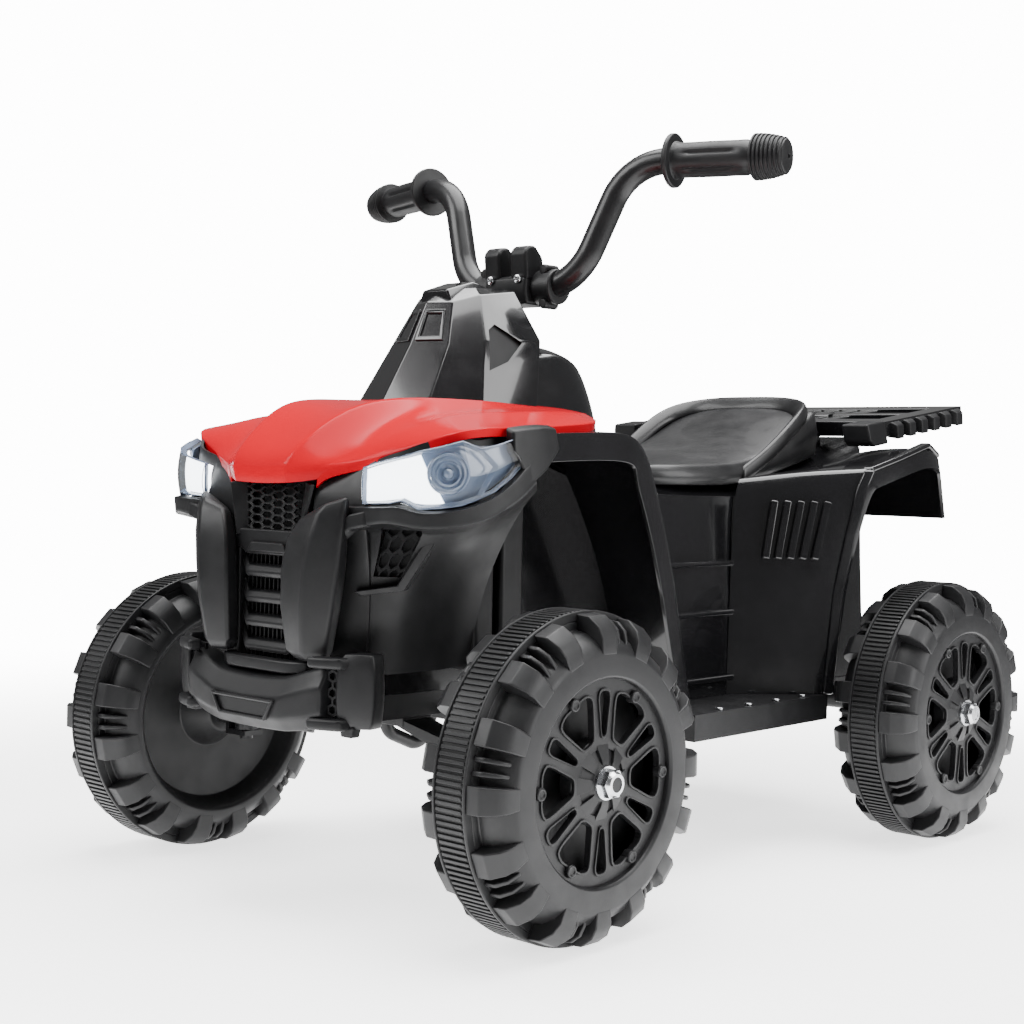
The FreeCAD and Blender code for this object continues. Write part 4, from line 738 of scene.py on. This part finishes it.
WINDOW_OUTER = ((0.1, 0.08), (0.84, 0.08), (0.8, 0.82), (0.1, 0.82))
WINDOW_INNER = ((0.2, 0.18), (0.74, 0.18), (0.7, 0.72), (0.2, 0.72))
RIDGE_RINGS = (
    (66, (-17, 326), (17, 326), (13, 335), (-13, 335)),
    (92, (-20, 334), (20, 334), (15, 343), (-15, 343)),
    (104, (-20, 336), (20, 336), (15, 341), (-15, 341)),
)
KNEE_ROWS = (
    ((0, 104, 297), (30, 104, 296), (52, 103, 286), (66, 102, 264), (72, 102, 240)),
    ((0, 146, 300), (40, 146, 299), (60, 146, 290), (71, 146, 268), (75, 146, 236)),
    ((0, 168, 292), (40, 168, 290), (60, 168, 282), (70, 168, 262), (74, 168, 220)),
    ((0, 184, 262), (38, 184, 260), (58, 184, 250), (67, 183, 234), (71, 180, 204)),
    ((0, 194, 188), (34, 194, 188), (52, 194, 188), (62, 192, 186), (67, 190, 184)),
)


def fenders():
    rows = []
    for along, height, flange in FENDER_PATH:
        lean = FENDER_LEAN if height < FENDER_TOP else 0.0
        rows.append([front(64, along, height - 2), front(112, along, height + 1),
                     front(149, along, height), front(152, along - lean, flange)])
    both_sides("fender_front", rows, "front_fender", "black_gloss", [("col", 2, 0.7)])
    rows = place_rows(QUARTER_ROWS, rear)
    creases = [("col", 2, 0.6), ("row", 4, 0.5), ("row", 7, 0.6)]
    both_sides("fender_rear", rows, "rear_fender", "black_gloss", creases)
    face = placed(VENT_FACE, rear)
    for k in range(VENTS):
        share = VENT_FIRST + VENT_PITCH * k
        foot, head = on_patch(face, share, 0.08), on_patch(face, share + 0.05, 0.9)
        on_both(vent_blade, "quarter_vent_%d" % (k + 1), [foot, head, facing(face)])


def quarter_beads():
    """Rolled beads along the arch edge and the outer top edge of each quarter panel."""
    line = [rear(*QUARTER_ROWS[k][2]) for k in range(5)]
    on_both(bead, "quarter_bead", [line, [Vector((0.63, 0.77, 0.0))], [Vector((0.77, -0.63, 0.15))]])
    line = [rear(x - 3, along, h) for x, along, h in (QUARTER_ROWS[k][2] for k in range(4, 8))]
    on_both(bead, "quarter_rim", [line, [Vector((1, 0, 0))], [Vector((0, 0, 1))]])


def bead(name, lines):
    path, (across,), (out,) = lines
    return bar(name, path, across * 5.0 * MM, out * 2.4 * MM, "black_gloss", 2.0)


def vent_blade(name, points):
    """Slanted blade of a vent, standing out from the panel."""
    foot, head, outward = points
    outward = outward.normalized()
    across = (head - foot).cross(outward).normalized()
    near, far = across * 1.2 * MM, across * 5.5 * MM
    outline = [foot - near, foot + far, head + far, head - near]
    return slab(name, [p - outward * 2 * MM for p in outline], outward * 4.5 * MM, "black_gloss", 1.4)


def pod_and_knee_cover():
    rows = whole_rows(place_rows(POD_ROWS, front))
    pod = panel("pod_panel", rows, "black_gloss", edge=1.2, levels=0, angle=8.0)
    scoop = [on_patch(pod_face(row, 2), u, v) for row, u, v in SCOOP_OUTLINE]
    outward = (scoop[2] - scoop[5]).cross(scoop[1] - scoop[5]).normalized()
    outward *= side_of([outward])
    for outline, way in ((scoop, outward), (flipped(scoop), flipped([outward])[0])):
        carve(pod, [p + way * SCOOP_CUT * MM for p in outline], way * -2 * SCOOP_CUT * MM)
    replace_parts(pod, "steering_pod")
    on_both(scoop_back, "pod_scoop", [scoop, [outward]])
    face = pod_face(1, 0)
    outer, inner = ([on_patch(face, u, v) for u, v in outline] for outline in (WINDOW_OUTER, WINDOW_INNER))
    on_both(pod_window, "pod_window", [outer, inner, [facing(face)]])
    loft("pod_ridge", [upright(front, along, ring) for along, *ring in RIDGE_RINGS], "black_gloss", 1.5)
    rows = whole_rows(place_rows(KNEE_ROWS, front))
    creases = [("col", 2, 0.5), ("col", 6, 0.5), ("row", 3, 0.3)]
    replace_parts(panel("knee_panel", rows, "black_gloss", creases), "knee_cover")


def pod_face(row, column):
    """Corners of one facet of the pod, lower edge first."""
    return [front(*POD_ROWS[r][c]) for r in (row, row + 1) for c in (column, column + 1)]


def scoop_back(name, lines):
    """Dark plate behind a scoop of the pod."""
    outline, (outward,) = lines
    middle = sum(outline, Vector()) / len(outline)
    wide = [middle + (p - middle) * 1.15 - outward * 2.6 * MM for p in outline]
    return slab(name, wide, outward * -2.5 * MM, "black_matte", 0.5)


def pod_window(name, lines):
    """Raised frame on the pod's front."""
    outer, inner, (outward,) = lines
    outward = outward.normalized()
    outer, inner = ([p - outward * MM for p in line] for line in (outer, inner))
    return frame_slab(name, outer, inner, outward * 2.4 * MM, "black_gloss", 0.7)


# Seat
SEAT_RIM = (
    (78, -116, 204), (81, -92, 217), (83, -66, 234), (82, -38, 252), (76, -14, 263),
    (56, 0, 268), (30, 3, 270),
)
RIM_MIDDLE = (0, 3, 270)
RIM_SECTION = ((-12, -14), (-7, -3), (-2, 2), (3, 1), (5, -16))
SEAT_ROWS = (
    (front, 248, 46, 189, 204, 206),
    (front, 272, 66, 189, 206, 212),
    (rear, -170, 78, 189, 206, 218),
    (rear, -110, 82, 190, 208, 224),
    (rear, -62, 84, 203, 224, 234),
    (rear, -20, 84, 213, 248, 256),
    (rear, 2, 80, 218, 258, 264),
)


def seat():
    rings = []
    for place, along, half, base, edge, crown in SEAT_ROWS:
        outline = ((4 - half, base), (-half, (base + edge) / 2), (6 - half, edge), (-half * 0.5, crown - 2))
        right = upright(place, along, outline)
        rings.append(right + [place(0, along, crown)] + flipped(reversed(right)))
    creases = [("row", 0, 0.8), ("row", len(rings) - 1, 0.8), ("col", 0, 1.0), ("col", 8, 1.0),
               ("col", 2, 0.5), ("col", 6, 0.5)]
    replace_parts(lump("seat_saddle", rings, "seat_black", creases), "seat")
    rings = []
    right = [(-x, along, h) for x, along, h in SEAT_RIM]
    for x, along, h in right + [RIM_MIDDLE] + list(reversed(SEAT_RIM)):
        out = Vector((x, along + 50, 0)).normalized()
        rings.append([rear(x, along, h) + (out * a + Vector((0, 0, b))) * MM for a, b in RIM_SECTION])
    lump("seat_rim", rings, "seat_black", [("row", 0, 0.6), ("row", len(rings) - 1, 0.6), ("col", 2, 0.3)])


# Rack: toothed outer sides and a box at the front end of each rail
RACK_SLOPE = math.radians(8.0)
RACK_END = (153, 268)
RACK_TEETH = 6
TOOTH_FIRST, TOOTH_PITCH = -14.0, 22.0
TOOTH_RINGS = ((136, 8.5, -0.5, -15), (142, 7.0, -2, -16), (146, 5.5, -5, -17))
BOX_RINGS = ((-176, -14), (-170, -19), (-146, -19))


def rack_point(x, along, h):
    """Point on the sloping rack, measured from its rear edge."""
    end, height = RACK_END
    return rear(x, end + along * math.cos(RACK_SLOPE) - h * math.sin(RACK_SLOPE),
                height + along * math.sin(RACK_SLOPE) + h * math.cos(RACK_SLOPE))


def rack_ends():
    for k in range(RACK_TEETH):
        middle = TOOTH_FIRST - TOOTH_PITCH * k
        rings = [placed(((x, middle - half, h), (x, middle + half, h), (x, middle + half, low),
                         (x, middle - half, low)), rack_point) for x, half, h, low in TOOTH_RINGS]
        on_both(loft, "rack_tooth_%d" % (k + 1), rings, "black_matte", 1.2)
    rings = [placed(((116, y, 1.5), (143, y, 1.5), (146, y, low), (118, y, low)), rack_point)
             for y, low in BOX_RINGS]
    on_both(loft, "rack_box", rings, "black_matte", 2.0)


# Headlights: clear lens in a bright bezel, a lit bar and a round lamp behind it
LENS_EDGE = (
    (86, -82, 200, 175), (100, -83.5, 203.5, 175.5), (112, -82, 206, 176), (120, -79, 208, 178),
    (129, -72.5, 211.5, 172.5), (138, -60, 215, 173.5), (144, -46.5, 219, 175.5), (148, -34, 214.5, 180),
    (151, -22, 216.5, 185), (153.5, -8, 221, 195), (155, 2, 209, 205),
)
LIT_REACH = (1.2, 0.8, 0.4, 0.1)
LIT_LOW, LIT_HIGH, LIT_SPAN = 0.08, 0.92, 0.84
LAMP_FACING = Vector((0.78, -0.62, 0.0))
LAMP_PROFILE = (
    (-4, 1), (-4, 14), (0, 14.5), (1.5, 13.5), (0.2, 12), (1.0, 10.5), (-1.0, 9), (-0.2, 7.5), (-2.5, 6),
    (-3.0, 4), (0.5, 3.2), (1.8, 1.5), (2.0, 0.4),
)


def lens_point(column, share, setback):
    """Point on the left lens between its lower and upper edge, set back from the glass."""
    x, along, top, low = LENS_EDGE[column]
    bulge = 2.5 * math.sin(math.pi * min(1.0, max(0.0, share)))
    outward = Vector((x - 40, along - 20, 0)).normalized()
    return front(x, along, low + (top - low) * share) + outward * (bulge - setback) * MM


def lens_rows(setback, low, high, columns):
    return [[lens_point(k, low + (high - low) * step / 3, setback) for k in columns] for step in range(4)]


def bezel(name, outline):
    """Bright strip round a lens, sloping in from its edge."""
    middle = sum(outline, Vector()) / len(outline)
    inward = Vector((-0.72 * side_of(outline), 0.69, 0.0))
    shape = bmesh.new()
    outer = [shape.verts.new(p + inward * 0.4 * MM) for p in outline]
    inner = [shape.verts.new(p + (middle - p).normalized() * 3.2 * MM + inward * 3.0 * MM) for p in outline]
    bridge(shape, [outer, inner])
    piece = add_object(name, finish_mesh(shape, name), "reflector_bright")
    thicken(piece, 1.0)
    return round_edges(piece, 0.3, 2)


def headlights():
    every = range(len(LENS_EDGE))
    outline = [lens_point(k, 0.0, 0.0) for k in every] + [lens_point(k, 1.0, 0.0) for k in reversed(every)]
    lenses = on_both(panel, "lens", lens_rows(0, 0, 1, every), "lens_clear", wall=1.0, edge=0.3)
    on_both(bezel, "lens_bezel", outline)
    on_both(panel, "lens_housing", lens_rows(15, -0.12, 1.12, every), "black_matte", wall=2.0, edge=0.4)
    lit = lens_rows(6, LIT_LOW, LIT_HIGH, range(5))
    for step, (row, reach) in enumerate(zip(lit, LIT_REACH)):
        share = LIT_LOW + LIT_SPAN * step / 3
        row.append(lens_point(4, share, 6).lerp(lens_point(5, share, 6), reach))
    bars = on_both(panel, "light_bar", lit, "lamp_white", wall=1.5, edge=0.5)
    tip = lens_rows(9, 0.05, 0.95, range(4, 11))
    tips = on_both(panel, "lamp_tip", tip, "reflector_bright", wall=1.5, edge=0.5)
    middle = lens_point(5, 0.56, 5.0).lerp(lens_point(6, 0.5, 5.0), 0.35)
    on_both(round_lamp, "lamp_round", [middle, LAMP_FACING])
    divider = [lens_point(7, 0.97, 3.0), lens_point(8, 0.55, 2.5), lens_point(7, 0.05, 3.0)]
    across, up = Vector((1.2, 1.2, 0)) * MM, Vector((0, 0, 1.2)) * MM
    on_both(bar, "lamp_divider", divider, across, up, "reflector_bright", 0.5)
    for (side, _), lens in zip(SIDES, lenses):
        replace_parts(lens, "headlight_lens_" + side)
    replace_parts(tips[0], "headlight_reflectors")
    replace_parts(bars[0], "headlight_lamps")


def round_lamp(name, points):
    """Round reflector with stepped rings and a small bulb."""
    place, outward = points
    return lathe(name, place, outward, LAMP_PROFILE, "reflector_bright")


# Handlebar: grips with flutes and a ribbed end, collars beside the clamp
BAR_MIDDLE = (163, 344)
GRIP_INNER = Vector((95, 17.5, 94))
GRIP_OUTER = Vector((218, 46, 90.5))
GRIP_LENGTH = 91.0
FLUTE_START, FLUTE_END = 12, 58
FLUTES = 6
BARREL_STEPS = 16
GRIP_RIBS = 8
RIB_PITCH = 3.1
RIB_SECTION = ((68.2, 0.5), (68.6, 0.0), (70.0, 0.0), (70.4, 1.4), (71.1, 1.6))
COLLAR_PROFILE = ((0, 10.5), (0, 13.2), (1, 14), (19, 14), (20, 13.2), (20, 10.5))
COLLAR_BOLT = ((-3, 0.5), (-3, 3.4), (-2, 4), (12, 4), (13, 3.4), (13, 0.5))


def bar_point(x, along, h):
    """Point measured from the middle of the handlebar."""
    return front(x, BAR_MIDDLE[0] + along, BAR_MIDDLE[1] + h)


def grip_profile():
    """Flange, barrel and ribbed end of a grip."""
    profile = [(0, 10.4), (0, 19.8), (0.8, 20.6), (3.2, 20.6), (4, 19.8), (4.2, 14.6), (6, 13.6)]
    for k in range(1, BARREL_STEPS + 1):
        profile.append((6 + 56 * k / BARREL_STEPS, 13.3 + 0.4 * math.sin(math.pi * k / BARREL_STEPS)))
    profile += [(64, 12.6), (67, 12.2), (68, 14.5)]
    for k in range(GRIP_RIBS):
        wide = 17.4 * math.cos(0.75 * k / GRIP_RIBS)
        profile += [(start + RIB_PITCH * k, wide - drop) for start, drop in RIB_SECTION]
    return profile + [(93, 12.2), (94, 9), (94.3, 2.4), (92, 2.2), (92, 0.3)]


def fluted(along, radius, angle):
    """Long shallow hollows along the barrel of a grip."""
    if not FLUTE_START < along < FLUTE_END:
        return radius
    fade = min(1.0, (along - FLUTE_START) / 6, (FLUTE_END - along) / 6)
    return radius - 1.9 * fade * max(0.0, math.cos(FLUTES * angle)) ** 3


def handlebar():
    axis = (GRIP_OUTER - GRIP_INNER).normalized()
    start = bar_point(0, 0, 0) + (GRIP_OUTER - axis * GRIP_LENGTH) * MM
    profile = grip_profile()
    for side, sign in SIDES:
        place, along = (start, axis) if sign > 0 else flipped((start, axis))
        grip = lathe("grip_sleeve_" + side, place, along, profile, "grip_black", "steering", 72, fluted)
        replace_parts(grip, "grip_" + side)
        outward = Vector((sign, 0, 0))
        collar = bar_point(sign * 21, 0, 0)
        lathe("clamp_collar_" + side, collar, outward, COLLAR_PROFILE, "grip_black", "steering")
        for name, height in (("upper", 13.5), ("lower", -13.5)):
            bolt = bar_point(sign * 32, -7, height)
            name = "collar_bolt_%s_%s" % (name, side)
            lathe(name, bolt, Vector((0, 1, 0)), COLLAR_BOLT, "grip_black", "steering", 24)


# Clamp: a rounded block under the bar and two separate caps over it
CAP_OUTLINE = ((-19, 5), (-21, 27), (-17, 32), (-8, 33), (1, 24), (4, 4))
BASE_OUTLINE = ((-17, -14), (-20, -4), (-19, 8), (-8, 10), (12, 7), (15, -4), (14, -14))


SCREW_PROFILE = ((-3, 0.5), (-3, 3.6), (0.8, 3.6), (1.8, 2.9), (2.2, 1.8), (1.2, 1.6), (1.2, 0.4))
BASE_HALF = 22
CAP_START, CAP_WIDTH = 5.5, 17.5


def clamp():
    def piece(name, outline, start, width):
        points = [bar_point(start, along, h) for along, h in outline]
        return slab(name, points, Vector((width * MM, 0, 0)), "black_matte", 3.0, 4, "steering")
    base = piece("clamp_block", BASE_OUTLINE, -BASE_HALF, 2 * BASE_HALF)
    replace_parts(base, "clamp_base")
    caps, screws = [], []
    for side, sign in SIDES:
        caps.append(piece("clamp_cap_" + side, CAP_OUTLINE, sign * CAP_START, sign * CAP_WIDTH))
        place, way = bar_point(sign * 14.5, -20, 6), Vector((0, -1, -0.15))
        screws.append(lathe("clamp_screw_" + side, place, way, SCREW_PROFILE, "zinc", "steering", 24))
    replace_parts(caps[0], "clamp_caps")
    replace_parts(screws[0], "clamp_screws")


# Wheels: a ribbed tread band, lugs down both sides, twin spokes with raised lips and a faceted hub
WHEEL_X = 199.0
BAND_RIBS = 160
BAND_TURNS, WALL_TURNS, HUB_TURNS = 120, 96, 48
LUGS = 16
LUG_DEGREES = 9.6
NARROW_DEGREES, NARROW_APART = 1.9, 2.4
SPOKE_PAIRS = 6
HUB_RIBS = 8
RIM_BOLT_RADIUS = 61.0
BAND_PROFILE = (
    (-14.2, 104), (-14.2, 109.4), (-13.6, 110), (-12.2, 110), (-11.7, 108.3), (11.7, 108.3), (12.2, 110),
    (13.6, 110), (14.2, 109.4), (14.2, 104),
)
RIB_PROFILE = ((-11.2, 107.5), (-11.2, 109.4), (-10.6, 109.9), (10.6, 109.9), (11.2, 109.4), (11.2, 107.5))
TYRE_SIDE = ((11, 104), (14.2, 104), (14.2, 98), (22, 96.5), (30, 92), (34.4, 86.5), (36, 83))
SIDE_PROFILE = TYRE_SIDE + (
    (36, 69.5), (35.2, 68), (33.5, 67.4), (29, 67), (26, 67), (29, 72), (29, 84), (12, 93),
)
LUG_PROFILE = ((13.8, 108.8), (24, 108), (32.5, 101.5), (36, 94), (36, 83.2), (33, 80), (13.8, 88))
NARROW_LUG = ((13.8, 105.5), (22, 105), (29, 99.5), (32, 92), (31, 84), (13.8, 90))
DISH_PROFILE = TYRE_SIDE + (
    (36, 79), (33, 75.5), (18.5, 70), (15.5, 29), (35.5, 15.5), (36, 14), (36, 5.4), (4, 5.4), (4, 11),
    (11, 24), (13, 74), (28, 82), (12, 93),
)
HUB_PROFILE = (
    (20, 29), (29.6, 29), (30.2, 28), (28.6, 25), (32.4, 14), (33.6, 12.6), (34.4, 11.4), (34.4, 5.4),
    (20, 5.4),
)
HUB_RIB = ((27, 26.6), (30.6, 26.4), (34.2, 15), (34.2, 11.6), (27, 14))
BACK_DISC = ((12, 10), (12, 68), (9, 68), (9, 10))
BOLT_PROFILE = ((28, 4.4), (33.4, 4.4), (34.2, 3.8), (34.2, 2.8), (33.2, 2.4), (33.2, 0.4))
OPENING = (
    (28.5, -5.2), (28.5, 5.2), (49, 15.0), (55, 16.8), (58.5, 11), (58.5, -11), (55, -16.8), (49, -15.0),
)
SLOT = ((30, -2.2), (30, 2.2), (56, 5.4), (59.5, 3.6), (59.5, -3.6), (56, -5.4))
DISC_RADII = (22.0, 67.6)
DISC_FACE, DISC_BACK = 31.0, 27.0
LIP_FOOT, LIP_TOP = 30.0, 32.3
LIP_WIDTH = 1.7


def turned_ring(shape, place, profile, turns):
    """Ring round the axle with a closed profile of (across, radius) points."""
    loops = [[shape.verts.new(place(x, r, 360.0 * k / turns)) for x, r in profile] for k in range(turns)]
    bridge(shape, loops + loops[:1])


def block(shape, place, profile, middle, width):
    """Block round the axle with a profile of (across, radius) points, between two angles."""
    capped(shape, [[place(x, r, middle + turn * width / 2) for x, r in profile] for turn in (-1, 1)])


def rounded(outline, radius):
    """Outline in a plane with its corners rounded."""
    points = []
    for k, corner in enumerate(outline):
        corner = Vector(corner)
        before, after = Vector(outline[k - 1]) - corner, Vector(outline[(k + 1) % len(outline)]) - corner
        a = corner + before * min(0.45, radius / before.length)
        b = corner + after * min(0.45, radius / after.length)
        points += [a, a * 0.25 + corner * 0.5 + b * 0.25, b]
    return points


def spokes(shape, place):
    """Disc with an opening and a slot for each pair of spokes, a raised lip round every one."""
    def ring(x, line):
        return [shape.verts.new(place(x, p.length, math.degrees(math.atan2(p.y, p.x)))) for p in line]
    holes = []
    for k in range(SPOKE_PAIRS):
        for outline, turn in ((OPENING, 0.0), (SLOT, 0.5)):
            spin = Matrix.Rotation(2 * math.pi * (k + turn) / SPOKE_PAIRS, 2)
            holes.append([spin @ p for p in rounded(outline, 3.0)])
    angles = [2 * math.pi * k / WALL_TURNS for k in range(WALL_TURNS)]
    circles = [[Vector((r * math.cos(a), r * math.sin(a))) for a in angles] for r in DISC_RADII]
    behind, edges = {}, []
    for n, loop in enumerate(circles + holes):
        verts, back = ring(DISC_FACE, loop), ring(DISC_BACK, loop)
        behind.update(zip(verts, back))
        for j in range(len(loop)):
            m = (j + 1) % len(loop)
            edges.append(shape.edges.new((verts[j], verts[m])))
            shape.faces.new((verts[j], verts[m], back[m], back[j]))
        if n >= len(circles):
            middle = sum(loop, Vector((0, 0))) / len(loop)
            wide = [p + (p - middle).normalized() * LIP_WIDTH for p in loop]
            lip = [ring(LIP_FOOT, loop), ring(LIP_TOP, loop), ring(LIP_TOP, wide), ring(LIP_FOOT, wide)]
            bridge(shape, lip + lip[:1])
    made = bmesh.ops.triangle_fill(shape, use_beauty=True, use_dissolve=False, edges=edges)
    for face in [f for f in made["geom"] if isinstance(f, bmesh.types.BMFace)]:
        shape.faces.new([behind[v] for v in reversed(face.verts)])


def wheel(corner, along, sign):
    body = "wheel_" + corner

    def place(x, r, degrees):
        a = math.radians(degrees)
        return Vector((sign * (WHEEL_X + x), along + r * math.cos(a), AXLE_Z + r * math.sin(a))) * MM

    def inner_place(x, r, degrees):
        return place(-x, r, degrees + 180.0 / LUGS)

    band = bmesh.new()
    turned_ring(band, place, BAND_PROFILE, BAND_TURNS)
    for k in range(BAND_RIBS):
        block(band, place, RIB_PROFILE, 360.0 * k / BAND_RIBS, 1.15)
    piece = add_object("tread_ribs_" + corner, finish_mesh(band, "tread_ribs"), "tread_black", body)
    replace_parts(round_edges(piece, 0.3, 2), "tread_band_" + corner)
    for half, here, profile in (("outer", place, SIDE_PROFILE), ("inner", inner_place, DISH_PROFILE)):
        wall = bmesh.new()
        turned_ring(wall, here, profile, WALL_TURNS)
        for k in range(LUGS):
            middle = 360.0 * k / LUGS
            block(wall, here, LUG_PROFILE, middle, LUG_DEGREES)
            between = middle + 180.0 / LUGS
            for turn in (-1, 1) if k % 2 else ():
                block(wall, here, NARROW_LUG, between + turn * NARROW_APART, NARROW_DEGREES)
        name = "wheel_%s_wall_%s" % (half, corner)
        piece = add_object(name, finish_mesh(wall, name), "wheel_black", body)
        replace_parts(round_edges(piece, 1.0, 2), "wheel_%s_%s" % (half, corner))
    face = bmesh.new()
    spokes(face, place)
    turned_ring(face, place, HUB_PROFILE, HUB_TURNS)
    turned_ring(face, place, BACK_DISC, HUB_TURNS)
    for k in range(HUB_RIBS):
        block(face, place, HUB_RIB, 360.0 * k / HUB_RIBS, 27.0)
    name = "wheel_face_" + corner
    round_edges(add_object(name, finish_mesh(face, name), "wheel_black", body), 0.5, 2)
    for k in range(SPOKE_PAIRS):
        centre = place(0, RIM_BOLT_RADIUS, 360.0 * k / SPOKE_PAIRS)
        name = "rim_bolt_%s_%d" % (corner, k + 1)
        lathe(name, centre, Vector((sign, 0, 0)), BOLT_PROFILE, "wheel_black", body, 16)


def wheels():
    for end, along in (("front", FRONT_Y), ("rear", REAR_Y)):
        for side, sign in SIDES:
            wheel("%s_%s" % (end, side), along, sign)


# Tail: a raised border and ribs moulded into the rear wall
TAIL_OUTLINE = ((-70, 34), (70, 34), (65, 184), (44, 206), (-44, 206), (-65, 184))
TAIL_Y = 66
TAIL_MIDDLE = 120
TAIL_RIBS = 5
RIB_FIRST, RIB_STEP, RIB_TALL = 58, 24, 7


def tail():
    def scaled(share):
        outline = [(x * share, TAIL_MIDDLE + (h - TAIL_MIDDLE) * share) for x, h in TAIL_OUTLINE]
        return upright(rear, TAIL_Y, outline)
    frame_slab("tail_border", scaled(1.0), scaled(0.91), deep(7), "black_gloss", 1.4)
    for k in range(TAIL_RIBS):
        low = RIB_FIRST + RIB_STEP * k
        high = low + RIB_TALL
        rib = upright(rear, TAIL_Y, ((-48, low), (48, low), (46, high), (-46, high)))
        slab("tail_rib_%d" % (k + 1), rib, deep(6.5), "black_gloss", 1.4)


# Pillars inside the front arches and ledges beside the footwells
PILLARS = ((8, 27), (34, 57))
PILLAR_X, PILLAR_WIDTH = 106, 45
LEDGES = ((127, 4.0), (86, 5.5), (31, 7.0))


def side_walls():
    for k, (start, end) in enumerate(PILLARS):
        pillar = placed(((start, 58), (end, 58), (end, 222), (start, 218)), pillar_point)
        on_both(arch_pillar, "arch_pillar_%d" % (k + 1), pillar)
    for k, (height, reach) in enumerate(LEDGES):
        outline = ((88, height - 5), (92 + reach, height - 5), (92 + reach, height), (88, height))
        ledge = upright(front, 214, outline)
        on_both(slab, "tunnel_ledge_%d" % (k + 1), ledge, deep(118), "black_gloss", 2.0)


def pillar_point(along, h):
    return front(PILLAR_X, along, h)


def arch_pillar(name, outline):
    """Pillar from the arch's mouth in to the body."""
    inward = Vector((-PILLAR_WIDTH * side_of(outline) * MM, 0, 0))
    return slab(name, outline, inward, "black_matte", 3.0)


# Stage and light
WHITE = (1.0, 1.0, 1.0, 1.0)
FLOOR_HALF = 4.0
FLOOR_GLOW = 2.0
FADE_START, FADE_END = 0.5, 1.6
FILL = 0.45
SURROUND = 14.0
MIRRORED = 0.22
LIGHTS = (
    ("key", (-1.4, -2.4, 2.2), (0, 0, 0.2), (1.8, 1.8), 110),
    ("side", (2.6, 0.7, 1.2), (0, 0, 0.3), (1.4, 2.2), 80),
    ("top", (0.1, 0.2, 2.6), (0, 0, 0.0), (2.6, 2.6), 230),
)


def stage():
    """White floor that fades into a white surround."""
    floor = bpy.data.meshes.new("floor")
    corners = [(x * FLOOR_HALF, y * FLOOR_HALF, 0) for x, y in ((-1, -1), (1, -1), (1, 1), (-1, 1))]
    floor.from_pydata(corners, [], [(0, 1, 2, 3)])
    ground = in_scene("floor", floor)
    material, tree, shader = new_material("pale_floor")
    fill(tree, shader, {"Base Color": (0.95, 0.95, 0.95, 1.0), "Roughness": 0.35, "Specular IOR Level": 0.3,
                        "Emission Color": WHITE, "Emission Strength": FLOOR_GLOW})
    coords = add_node(tree, "TexCoord", {})
    away = add_node(tree, "VectorMath", {0: coords.outputs["Object"]}, operation="LENGTH")
    fade = add_node(tree, "MapRange", {"Value": away.outputs["Value"], "From Min": FADE_START,
                                       "From Max": FADE_END}, interpolation_type="SMOOTHSTEP")
    clear = add_node(tree, "BsdfTransparent", {})
    mixed = add_node(tree, "MixShader", {"Fac": fade.outputs["Result"], 1: shader.outputs["BSDF"],
                                         2: clear.outputs["BSDF"]})
    fill(tree, tree.nodes["Material Output"], {"Surface": mixed.outputs["Shader"]})
    floor.materials.append(material)
    world = bpy.data.worlds.new("studio")
    world.use_nodes = True
    tree = world.node_tree
    paths = add_node(tree, "LightPath", {})
    seen = add_node(tree, "MapRange", {"Value": paths.outputs["Is Camera Ray"],
                                       "To Min": FILL, "To Max": SURROUND})
    strength = add_node(tree, "MapRange", {"Value": paths.outputs["Is Glossy Ray"],
                                           "To Min": seen.outputs["Result"], "To Max": MIRRORED})
    fill(tree, tree.nodes["Background"], {"Color": WHITE, "Strength": strength.outputs["Result"]})
    bpy.context.scene.world = world


def softbox(name, place, target, size, power):
    light = bpy.data.lights.new(name, "AREA")
    light.shape = "RECTANGLE"
    light.size, light.size_y = size
    light.energy = power
    lamp = in_scene(name, light)
    lamp.location = place
    lamp.rotation_euler = (Vector(target) - Vector(place)).to_track_quat("-Z", "Y").to_euler()


# Camera of the photograph
CAMERA_PLACE = (0.924, -1.1028, 0.3159)
CAMERA_AZIMUTH = 42.71
CAMERA_RISE = 1.71
CAMERA_ROLL = 1.25
CAMERA_LENS = 59.6


def camera():
    az, rise, roll = (math.radians(a) for a in (CAMERA_AZIMUTH, CAMERA_RISE, CAMERA_ROLL))
    back = Vector((math.sin(az) * math.cos(rise), -math.cos(az) * math.cos(rise), math.sin(rise)))
    flat = Vector((math.cos(az), math.sin(az), 0.0))
    level = back.cross(flat)
    right = flat * math.cos(roll) + level * math.sin(roll)
    up = level * math.cos(roll) - flat * math.sin(roll)
    data = bpy.data.cameras.new("camera")
    data.lens = CAMERA_LENS
    data.sensor_width = 36.0
    data.clip_end = 50.0
    eye = in_scene("camera", data)
    turned = Matrix((right, up, back)).transposed().to_4x4()
    turned.translation = Vector(CAMERA_PLACE)
    eye.matrix_world = turned
    bpy.context.scene.camera = eye


hood()
fascia()
grille()
blades()
bumper()
fenders()
quarter_beads()
pod_and_knee_cover()
seat()
rack_ends()
headlights()
handlebar()
clamp()
wheels()
tail()
side_walls()

# Nodes that still show get rounded edges of these widths
EDGE_WIDTH = {"rear_rack": 1.5, "chassis_tray": 1.2, "main_body": 2.0}
COMMON_EDGE = 0.5
for name in sorted(NODES):
    if not NODES[name].hide_render:
        fitting = [width for start, width in EDGE_WIDTH.items() if name.startswith(start)]
        soften(name, fitting[0] if fitting else COMMON_EDGE)

stage()
for light in LIGHTS:
    softbox(*light)
camera()
